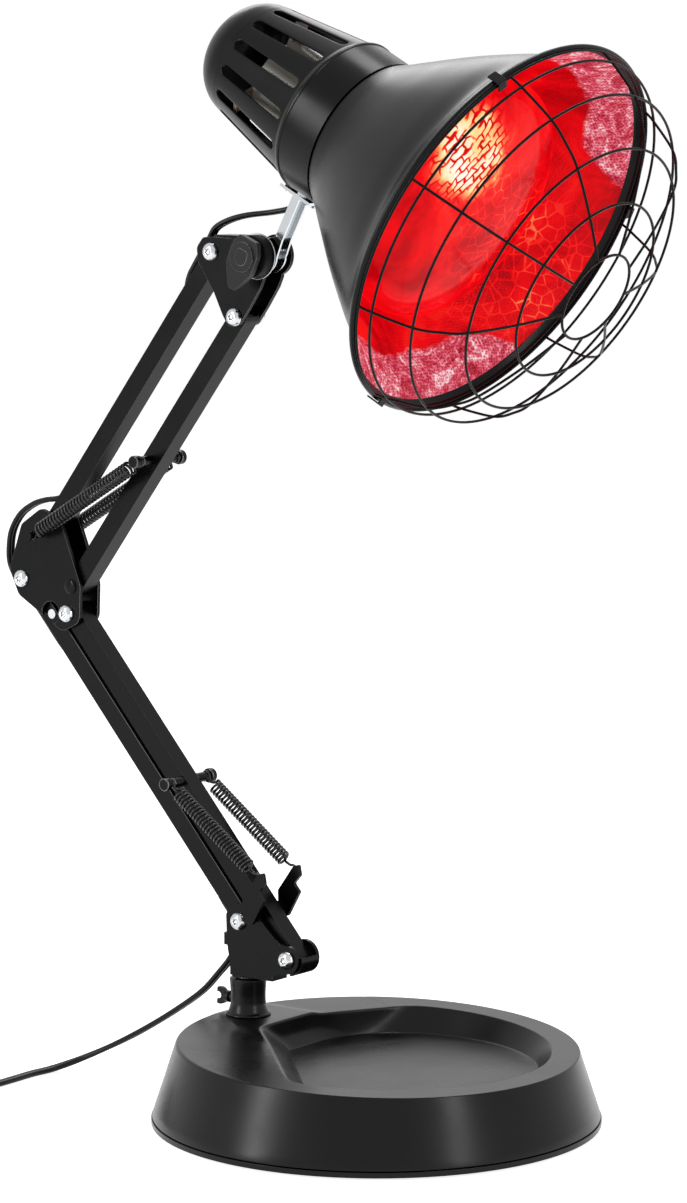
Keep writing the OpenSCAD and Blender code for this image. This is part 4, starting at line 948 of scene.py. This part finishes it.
def slotSector():  # one panel of the housing wall with its slot, and its thickness
    half = math.pi / headSize["slotCount"]
    low, high = headSize["slotStart"] - 1.5, headSize["slotEnd"] + 1.5
    w = headSize["slotWidth"] / 2
    middle = (low + high) / 2
    outline, border = [], []
    cornerAngles = (22.5, 157.5)
    for end, turn in ((headSize["slotEnd"] - w, 1), (headSize["slotStart"] + w, -1)):
        for a in sorted(list(range(0, 181, 15)) + list(cornerAngles)):
            q = Vector((w * math.cos(math.radians(a)) * turn, end + w * math.sin(math.radians(a)) * turn))
            x, d = q.x / w, (q.y - middle) / ((high - low) / 2)
            k = max(abs(x), abs(d))
            toEdge = (math.copysign(1, x), math.copysign(1, d)) if a in cornerAngles else (x / k, d / k)
            outline.append(q)
            border.append((toEdge[0], middle + toEdge[1] * (high - low) / 2))
    count = len(outline)
    levels = [0, 0.08, 0.3, 0.65, 1]
    verts = []
    for skin in (0, 1):
        for level in levels:
            for (edgeX, edgeD), q in zip(border, outline):
                angleIn = q.x / housingRadius(q.y)
                a = angleIn + (edgeX * half - angleIn) * level
                d = q.y + (edgeD - q.y) * level
                r = housingRadius(d) - skin * headSize["wall"]
                if level == 0 and skin == 0:
                    r -= 0.12
                verts.append(Vector((r * math.cos(a), r * math.sin(a), -d)))
    rows = len(levels)
    faces = bands(rows, count) + bands(rows, count, start=rows * count)
    inner, rim = rows * count, (rows - 1) * count
    faces += [(k, (k + 1) % count, inner + (k + 1) % count, inner + k) for k in range(count)]
    for k in range(count):  # the top and bottom edges of the panel are closed, its sides meet the next panel
        j = (k + 1) % count
        if abs(border[k][1] - border[j][1]) < 0.01 and min(abs(border[k][1] - low), abs(border[k][1] - high)) < 0.01:
            faces.append((rim + k, rim + j, inner + rim + j, inner + rim + k))
    return verts, faces


verts, faces = slotSector()
sector = hidden(closedPiece("slotSectorPattern", verts, faces, None, 40))
slotWall = runTree(ringArrayTree, "slotWall", {
    "Piece": sector, "Count": headSize["slotCount"], "First Angle": math.radians(headSize["firstSlot"]),
    "Material": finishes["shadeEnamel"]}, None, 40)
lowCut, highCut = headSize["slotStart"] - 1.5, headSize["slotEnd"] + 1.5
wallThick = headSize["wall"]
neck, ringAt, neckFoot = headSize["neck"], -headSize["stepDepth"], -headSize["neckDepth"] - 1
lowRadius, highRadius = housingRadius(lowCut), housingRadius(highCut)
collarPart = [(neck, neckFoot), (neck + 0.02, ringAt + 1.6), (neck + 0.45, ringAt + 1.2), (neck + 0.45, ringAt + 0.3),
              (neck, ringAt - 0.1), (lowRadius, -lowCut), (lowRadius - wallThick, -lowCut), (neck - 1.2, ringAt),
              (neck - 1.2, neckFoot)]
tr, td = headSize["topRadius"], headSize["taperDepth"]
capOutside = smoothPath([Vector(q) for q in [(highRadius, highCut), (tr, td), (tr - 1.6, td + 6), (tr - 5.4, td + 12),
                                             (tr - 11, td + 16.6), (tr - 18, td + 19.2), (0.02, td + 20)]], 4)
capInside = [Vector((max(q.x - 1.1, 0.02), q.y - 1.0 if q.x < tr - 4 else q.y - 0.3)) for q in capOutside[2:]]
capProfile = [(q.x, -q.y) for q in capOutside] + [(q.x, -q.y) for q in reversed(capInside)]
capProfile.append((highRadius - wallThick, -highCut))
verts, faces = joined([lathe(p, 168, True) for p in (collarPart, capProfile)])
housingRings = closedPiece("housingRings", verts, faces, finishes["shadeEnamel"], 40)


def merged(name, pieces, angle=40):  # several meshes of one body as one piece
    work = bmesh.new()
    for piece in pieces:
        work.from_mesh(piece.data)
    mesh = bpy.data.meshes.new(name)
    work.to_mesh(mesh)
    work.free()
    material = pieces[0].data.materials[-1]
    for piece in pieces:
        bpy.data.objects.remove(piece)
    return finishMesh(name, mesh, material, angle)


bosses = []
for depth in headSize["bossDepths"]:
    boss, bossFaces = lathe([(1.6, 34.9), (3.5, 34.9), (3.5, 41.1), (3.2, 41.45), (1.6, 41.45)], 24)
    bosses.append(([Vector((v.z, v.y, -depth + v.x)) for v in boss], bossFaces))
verts, faces = joined(bosses)
housingBosses = closedPiece("housingBosses", verts, faces, finishes["shadeEnamel"], 40)
housing = merged("slottedHousing", [slotWall, housingRings, housingBosses])
housing.data.transform(inHead)
settle(housing, "head", "black_paint", "lamp_housing")
print("shade and housing spun")

# wire guard
guardSize = {"wire": 0.65, "ribs": 9, "first": 11,
             "rings": [(94.9, 2.2), (93.2, 9), (86, 27.8), (68, 45), (45, 54), (22, 60.5)]}
points = bpy.data.meshes.new("guardRingPoints")
points.from_pydata([(0, 0, d * mm) for _, d in guardSize["rings"]], [], [])
radii = points.attributes.new("ringRadius", "FLOAT", "POINT")
radii.data.foreach_set("value", [r * mm for r, _ in guardSize["rings"]])
guardRings = runTree(wireRingTree, "guardRings", {
    "Wire Radius": guardSize["wire"] * mm, "Segments": 120, "Material": finishes["wirePaint"]}, points, 60)
ribCurve = [(94.9, 2.2), (93.2, 9), (86, 27.8), (78, 37.4), (68, 45), (45, 54), (22, 60.5)]
verts, faces = roundWire(smoothPath([Vector((r, 0, d)) for r, d in ribCurve], 6), guardSize["wire"], 8)
rib = hidden(closedPiece("guardRibPattern", verts, faces, None, 60))
guardRibs = runTree(ringArrayTree, "guardRibs", {
    "Piece": rib, "Count": guardSize["ribs"], "First Angle": math.radians(guardSize["first"]),
    "Material": finishes["wirePaint"]}, None, 60)
guard = merged("wireGuard", [guardRings, guardRibs], 60)
guard.data.transform(inHead)
outward(guard.data)
settle(guard, "head", "black_paint", "guard")
print("guard bent")

# bulb, lampholder and the lit red glass


def headPlace(tree, place):  # the head's own coordinates: x down from its axis, y across, z forward out of the shade
    moved = put(tree, "ShaderNodeVectorMath", {0: place, 1: (-rimCentre.x * mm, 0, -rimCentre.y * mm)}, operation="ADD")
    down = put(tree, "ShaderNodeVectorMath", {0: moved, 1: headDown}, operation="DOT_PRODUCT")
    ahead = put(tree, "ShaderNodeVectorMath", {0: moved, 1: headAhead}, operation="DOT_PRODUCT")
    parts = put(tree, "ShaderNodeSeparateXYZ", {"Vector": moved})
    face = put(tree, "ShaderNodeCombineXYZ", {"X": down, "Y": parts.outputs["Y"]})
    return face, firstOutput(ahead)


def fillRamp(ramp, stops):  # colour stops given as (position, hex)
    for element, (position, colour) in zip(ramp.color_ramp.elements, (stops[0], stops[-1])):
        element.position, element.color = position, linear(colour)
    for position, colour in stops[1:-1]:
        ramp.color_ramp.elements.new(position).color = linear(colour)
    return ramp.outputs["Color"]


def patch(tree, face, centre, size, low, high):  # a soft oval spot on the front of the head
    moved = put(tree, "ShaderNodeMapping", {
        "Vector": face, "Location": (centre[0] * mm, centre[1] * mm, 0), "Scale": (size[0] * mm, size[1] * mm, 1)},
        vector_type="TEXTURE")
    far = put(tree, "ShaderNodeVectorMath", {0: moved}, operation="LENGTH")
    return put(tree, "ShaderNodeMapRange", {
        "Value": far, "From Min": low, "From Max": high, "To Min": 1.0, "To Max": 0.0}, interpolation_type="SMOOTHSTEP")


redSteps = [(0.0, "#2a0003"), (0.16, "#8c0009"), (0.34, "#d0020b"), (0.52, "#f5060f"),
            (0.66, "#ff2a20"), (0.78, "#ff8450"), (0.89, "#ffdf96"), (1.0, "#fffdf0")]
# centre and size of each zone, and the size of each pattern
glassLook = {"hot": ((-29, -21), (33, 34)), "halo": ((-28, -20), (60, 60)), "pebbles": ((8, 22), (44, 46)),
             "cell": 6.5, "cloud": 9, "swirl": 30, "filament": 15, "filamentTurn": 38}
# zones and patterns of the painted glow on the lining, and its gap and thickness
liningLook = {"side": ((28, 86), (58, 58)), "relief": ((34, 70), (52, 62)),
              "peen": 1.3, "cell": 6.5, "cloud": 34, "streak": 12, "gap": 0.15, "thick": 0.55}
# painted glints of the lining: rose and pink up to near white
paintedRoseGlintSteps = [(0.40, "#780c1c"), (0.54, "#b01f34"), (0.68, "#d03e54"), (0.82, "#ee8494"), (0.95, "#fff0f0")]


def litGlass():
    # ruby infrared bulb, switched on: deep red glass, a yellow patch over the filament, pebbled relief in
    # bright threads
    material, tree, shader, place = newMaterial("litRubyGlass")
    face = headPlace(tree, place)[0]
    clouds = put(tree, "ShaderNodeTexNoise", {"Vector": place, "Scale": 1000 / glassLook["cloud"], "Detail": 2.0})
    astray = put(tree, "ShaderNodeVectorMath", {0: clouds.outputs["Color"], 1: (0.007, 0.007, 0)}, operation="MULTIPLY")
    bent = put(tree, "ShaderNodeVectorMath", {0: astray, 1: face}, operation="ADD")
    hot = patch(tree, bent, *glassLook["hot"], 0.35, 1.0)
    halo = patch(tree, face, *glassLook["halo"], 0.1, 1.1)
    pebbleZone = patch(tree, face, *glassLook["pebbles"], 0.4, 1.05)
    cells = put(tree, "ShaderNodeTexVoronoi", {
        "Vector": face, "Scale": 1000 / glassLook["cell"], "Randomness": 0.85}, feature="DISTANCE_TO_EDGE")
    threads = put(tree, "ShaderNodeMapRange", {
        "Value": cells, "From Min": 0.015, "From Max": 0.07, "To Min": 1.0, "To Max": 0.0})
    turned = put(tree, "ShaderNodeMapping", {
        "Vector": bent, "Rotation": (0, 0, math.radians(glassLook["filamentTurn"]))})
    filament = put(tree, "ShaderNodeTexBrick", {
        "Vector": turned, "Scale": 1000 / glassLook["filament"], "Mortar Size": 0.055, "Mortar Smooth": 0.7,
        "Color1": (0, 0, 0, 1), "Color2": (0, 0, 0, 1), "Mortar": (1, 1, 1, 1)})
    swirl = put(tree, "ShaderNodeTexNoise", {
        "Vector": face, "Scale": 1000 / glassLook["swirl"], "Detail": 3.0, "Roughness": 0.55, "Distortion": 0.8})
    shade = put(tree, "ShaderNodeMapRange", {
        "Value": swirl, "From Min": 0.36, "From Max": 0.60, "To Min": 0.27, "To Max": 0.52})
    warmed = put(tree, "ShaderNodeMath", {0: halo, 1: 0.10, 2: shade}, operation="MULTIPLY_ADD")
    lines = put(tree, "ShaderNodeMath", {0: threads, 1: pebbleZone}, operation="MULTIPLY")
    threaded = put(tree, "ShaderNodeMath", {0: lines, 1: 0.22, 2: warmed}, operation="MULTIPLY_ADD")
    burning = put(tree, "ShaderNodeMath", {0: hot, 1: 0.52, 2: threaded}, operation="MULTIPLY_ADD")
    worn = put(tree, "ShaderNodeMapRange", {
        "Value": clouds, "From Min": 0.40, "From Max": 0.56, "To Min": 0.0, "To Max": 1.0})
    marks = put(tree, "ShaderNodeMath", {0: filament, 1: worn}, operation="MULTIPLY")
    grid = put(tree, "ShaderNodeMath", {0: marks, 1: hot}, operation="MULTIPLY")
    heat = put(tree, "ShaderNodeMath", {0: grid, 1: -0.60, 2: burning}, operation="MULTIPLY_ADD")
    glow = fillRamp(put(tree, "ShaderNodeValToRGB", {"Fac": heat}), redSteps)
    feed(tree, shader, {"Emission Color": glow, "Emission Strength": 1.0, "Base Color": linear("#2a0003"),
                        "Roughness": 0.14, "IOR": 1.12})
    return material


def liningWithPaintedGlow():
    # hammered lining with the bulb's light painted on as its own glow: painted saturated red deep inside,
    # near the rim fine pebbles in rose and pink with painted white glints
    material, tree, shader, place = newMaterial("peenedLiningPaintedGlow")
    face, ahead = headPlace(tree, place)
    pebbles = put(tree, "ShaderNodeTexVoronoi", {
        "Vector": place, "Scale": 1000 / liningLook["peen"], "Randomness": 0.6})
    broad = put(tree, "ShaderNodeTexNoise", {
        "Vector": place, "Scale": 1000 / liningLook["cloud"], "Detail": 3.0, "Roughness": 0.6, "Distortion": 0.9})
    # zone where the painted red glow runs out to the rim with no rose glints
    side = patch(tree, face, *liningLook["side"], 0.55, 1.1)
    shifted = put(tree, "ShaderNodeMath", {0: side, 1: -0.03, 2: ahead}, operation="MULTIPLY_ADD")
    edge = put(tree, "ShaderNodeMath", {0: broad, 1: 0.012, 2: shifted}, operation="MULTIPLY_ADD")
    nearRim = put(tree, "ShaderNodeMapRange", {
        "Value": edge, "From Min": -0.0165, "From Max": -0.0140, "To Min": 0.0, "To Max": 1.0})
    cells = put(tree, "ShaderNodeTexVoronoi", {
        "Vector": place, "Scale": 1000 / liningLook["cell"], "Randomness": 0.85}, feature="DISTANCE_TO_EDGE")
    # painted reflection of the bulb's relief in bright threads
    threads = put(tree, "ShaderNodeMapRange", {
        "Value": cells, "From Min": 0.015, "From Max": 0.08, "To Min": 0.22, "To Max": 0.0})
    relief = patch(tree, face, *liningLook["relief"], 0.3, 1.0)
    deepPaintedGlow = put(tree, "ShaderNodeMapRange", {
        "Value": broad, "From Min": 0.36, "From Max": 0.62, "To Min": 0.26, "To Max": 0.56})
    threaded = put(tree, "ShaderNodeMath", {0: threads, 1: relief, 2: deepPaintedGlow}, operation="MULTIPLY_ADD")
    deep = fillRamp(put(tree, "ShaderNodeValToRGB", {"Fac": threaded}), redSteps)
    streaks = put(tree, "ShaderNodeTexNoise", {
        "Vector": place, "Scale": 1000 / liningLook["streak"], "Detail": 4.0, "Roughness": 0.65, "Distortion": 1.6})
    spots = put(tree, "ShaderNodeMath", {0: pebbles, 1: 0.42, 2: streaks}, operation="MULTIPLY_ADD")
    rose = fillRamp(put(tree, "ShaderNodeValToRGB", {"Fac": spots}), paintedRoseGlintSteps)
    # painted red glow deep inside, painted rose glints near the rim
    tone = put(tree, "ShaderNodeMix", {0: nearRim, 6: deep, 7: rose}, data_type="RGBA")
    bump = put(tree, "ShaderNodeBump", {"Height": pebbles, "Strength": 0.7, "Distance": 0.4 * mm})
    # the lining gives off the painted light of the bulb
    feed(tree, shader, {"Emission Color": tone, "Emission Strength": 0.9, "Base Color": linear("#2c0408"),
                        "Roughness": 0.3, "IOR": 1.15, "Normal": bump})
    return material


finishes["litGlass"] = litGlass()
finishes["lining"] = liningWithPaintedGlow()
bulbOutline = [(12.9, 103.8), (15.5, 98), (18, 88), (25, 77), (37, 66), (50, 54), (59, 43), (62, 34), (61, 27),
               (56, 21.5), (44, 17), (24, 14), (0.02, 13)]
bulbCurve = smoothPath([Vector(q) for q in bulbOutline], 5)
bulbInside = [Vector((max(q.x - 0.9, 0.02), q.y + (0.3 if q.x > 61 else 1.0 if q.y < 20 else 0.1)))
              for q in bulbCurve[:-1]] + [Vector((0.02, 14.1))]
bulbProfile = [(q.x, -q.y) for q in bulbCurve] + [(q.x, -q.y) for q in reversed(bulbInside)]
turnedPiece("infraredBulb", bulbProfile, 128, finishes["litGlass"], "head", "red_glass", ["bulb_glass"], inHead, True,
            60)

# lining: a thin skin on the inner face of the shade, glowing with the painted light of the bulb
liningOut = [Vector((q.x - liningLook["gap"], q.y)) for q in inside[8:-4]]
liningIn = [Vector((q.x - liningLook["thick"], q.y)) for q in liningOut]
turnedPiece("shadeLining", [(q.x, -q.y) for q in liningOut] + [(q.x, -q.y) for q in reversed(liningIn)], 160,
            finishes["lining"], "head", "chrome", [], inHead, True, 60)

# plug, its relief and blades; tie of the coil
plugEnd = freeRoute[-1]
verts, faces = [], []
stations = [(0.02, 2.9, 2.0), (0.6, 4.1, 3.3), (2.6, 4.3, 3.4), (3.0, 3.7, 2.8), (4.4, 3.8, 2.9), (4.8, 4.7, 3.8),
            (6.6, 4.9, 4.0), (7.0, 4.2, 3.4), (8.4, 4.4, 3.6), (8.9, 5.4, 4.6), (10.5, 6.4, 5.6), (13, 9.5, 6.6),
            (17, 11.9, 7.1), (23, 12.4, 7.3), (30, 12.5, 7.35), (34.6, 12.4, 7.3), (35.7, 11.9, 6.9), (36, 11.2, 6.3)]
around = 48
for along, halfWide, halfHigh in stations:
    power = 0.9 if along < 9 else 0.62
    for k in range(around):
        a = 2 * math.pi * k / around
        c, s = math.cos(a), math.sin(a)
        verts.append(Vector((halfWide * abs(c) ** power * (1 if c >= 0 else -1), along,
                             halfHigh * abs(s) ** power * (1 if s >= 0 else -1))))
faces = bands(len(stations), around)
faces += [tuple(reversed(range(around))), tuple(range((len(stations) - 1) * around, len(stations) * around))]
plug = closedPiece("mouldedPlug", verts, faces, finishes["knobPlastic"], 38)
plug.data.transform(Matrix.Translation(plugEnd * mm))
settle(plug, "base", "black_plastic", "plug_body")
blades = softened("plug_pins", "plugBlades", finishes["nickel"], "base", "brass", 0.25)

tieSize = {"halfWide": 2, "halfThick": 0.33, "inset": 0.35}
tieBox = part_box("cord_tie")
lowY, highY, topZ = tieBox[0].y / mm, tieBox[1].y / mm, tieBox[1].z / mm
tx = (tieBox[0].x + tieBox[1].x) / 2 / mm
inset = tieSize["inset"]
tieLoop = roundCorners([(lowY + inset, inset, 1.6), (highY - inset, inset, 1.6),
                        (highY - inset, topZ - inset, 2.4), (lowY + inset, topZ - inset, 2.4)], 2, 5)
wide, thick = tieSize["halfWide"], tieSize["halfThick"]
tieSection = [(-wide, -thick), (wide, -thick), (wide, thick), (-wide, thick)]
route = [Vector((tx, q.x, q.y)) for q in tieLoop]
verts, faces = [], []
for i, q in enumerate(route):
    heading = (route[(i + 1) % len(route)] - route[i - 1]).normalized()
    other = Vector((1, 0, 0)).cross(heading)
    verts += [q + Vector((1, 0, 0)) * a + other * b for a, b in tieSection]
faces = bands(len(route), len(tieSection), True)
tie = closedPiece("cordTie", verts, faces, finishes["rubber"], 40)
settle(tie, "base", "black_rubber", "cord_tie")
print("plug and tie moulded")

# finishes of the CAD nodes that stay as they are
kept = {"base_weight": "castIron", "base_feet": "rubber", "base_screws": "zinc", "socket_nut": "zinc",
        "lower_washers": "zinc", "tube_screw": "zinc", "lower_spring_rod": "zinc", "elbow_washers": "zinc",
        "elbow_spring_pin": "armPaint", "upper_spring_rod": "zinc", "head_washers": "zinc", "tilt_bolt": "zinc",
        "yoke_screws": "zinc", "friction_spacers": "rubber", "lampholder": "ceramic", "bulb_cap": "brass"}
for nodeName, finish in kept.items():
    node = nodes[nodeName]
    if not node.material_slots:
        node.data.materials.append(None)
    for holder in node.material_slots:
        holder.link = "OBJECT"
        holder.material = finishes[finish]

for piece in list(bpy.data.objects):  # pattern pieces of the node trees
    if piece.name.endswith("Pattern"):
        bpy.data.objects.remove(piece)

# floor, light and world


def seenPlain(tree):  # 1 for camera, glossy and see-through rays, which meet plain white
    rays = put(tree, "ShaderNodeLightPath")
    seen = put(tree, "ShaderNodeMath", {0: rays.outputs["Is Camera Ray"], 1: rays.outputs["Is Glossy Ray"]},
               operation="MAXIMUM")
    return put(tree, "ShaderNodeMath", {0: seen, 1: rays.outputs["Is Transmission Ray"]}, operation="MAXIMUM")


# each lamp: place, aim, size and power
studio = {"world": 0.35, "floorRadius": 4000, "floorLift": 0.82, "lamps": {
    "leftStrip": ((-0.95, -1.9, 0.9), (0, 0, 0.25), (0.2, 1.5), 24.0),
    "rightStrip": ((2.2, -0.35, 0.8), (0, 0, 0.2), (0.2, 1.3), 12.0),
    "topBox": ((0.0, 0.5, 1.8), (0, 0, 0.2), (0.5, 0.5), 8.0),
    "backBox": ((-1.4, 1.6, 1.6), (0, 0, 0.25), (1.2, 0.8), 8.0)}}
floorVerts, floorFaces = lathe([(0.01, 0.0), (studio["floorRadius"], 0.0)], 64, False)
floor = meshObject("studioFloor", metres(floorVerts), floorFaces, None, 40)
if floor.data.polygons[0].normal.z < 0:
    floor.data.flip_normals()
floorMaterial = bpy.data.materials.new("palePaperFloor")
floorMaterial.use_nodes = True
tree = floorMaterial.node_tree
tree.nodes.clear()
paper = put(tree, "ShaderNodeBsdfDiffuse", {"Color": linear("#f4f4f4")})
lift = put(tree, "ShaderNodeEmission", {"Color": (1, 1, 1, 1), "Strength": studio["floorLift"]})
seen = seenPlain(tree)
both = put(tree, "ShaderNodeAddShader", {0: paper, 1: lift})
mixed = put(tree, "ShaderNodeMixShader", {"Fac": seen, 1: paper, 2: both})
put(tree, "ShaderNodeOutputMaterial", {"Surface": mixed})
floor.data.materials.append(floorMaterial)

world = bpy.data.worlds.new("studioWorld")
scene.world = world
world.use_nodes = True
tree = world.node_tree
tree.nodes.clear()
seen = seenPlain(tree)
soft = put(tree, "ShaderNodeBackground", {"Color": (1, 1, 1, 1), "Strength": studio["world"]})
white = put(tree, "ShaderNodeBackground", {"Color": (1, 1, 1, 1), "Strength": 1.0})
mixed = put(tree, "ShaderNodeMixShader", {"Fac": seen, 1: soft, 2: white})
put(tree, "ShaderNodeOutputWorld", {"Surface": mixed})


def softbox(name, place, aim, size, power):
    data = bpy.data.lights.new(name, "AREA")
    data.shape = "RECTANGLE"
    data.size, data.size_y = size
    data.energy = power
    lamp = bpy.data.objects.new(name, data)
    lamp.location = place
    lamp.rotation_euler = (Vector(aim) - Vector(place)).to_track_quat("-Z", "Y").to_euler()
    scene.collection.objects.link(lamp)


for lampName, settings in studio["lamps"].items():
    softbox(lampName, *settings)

scene.view_settings.view_transform = "Standard"
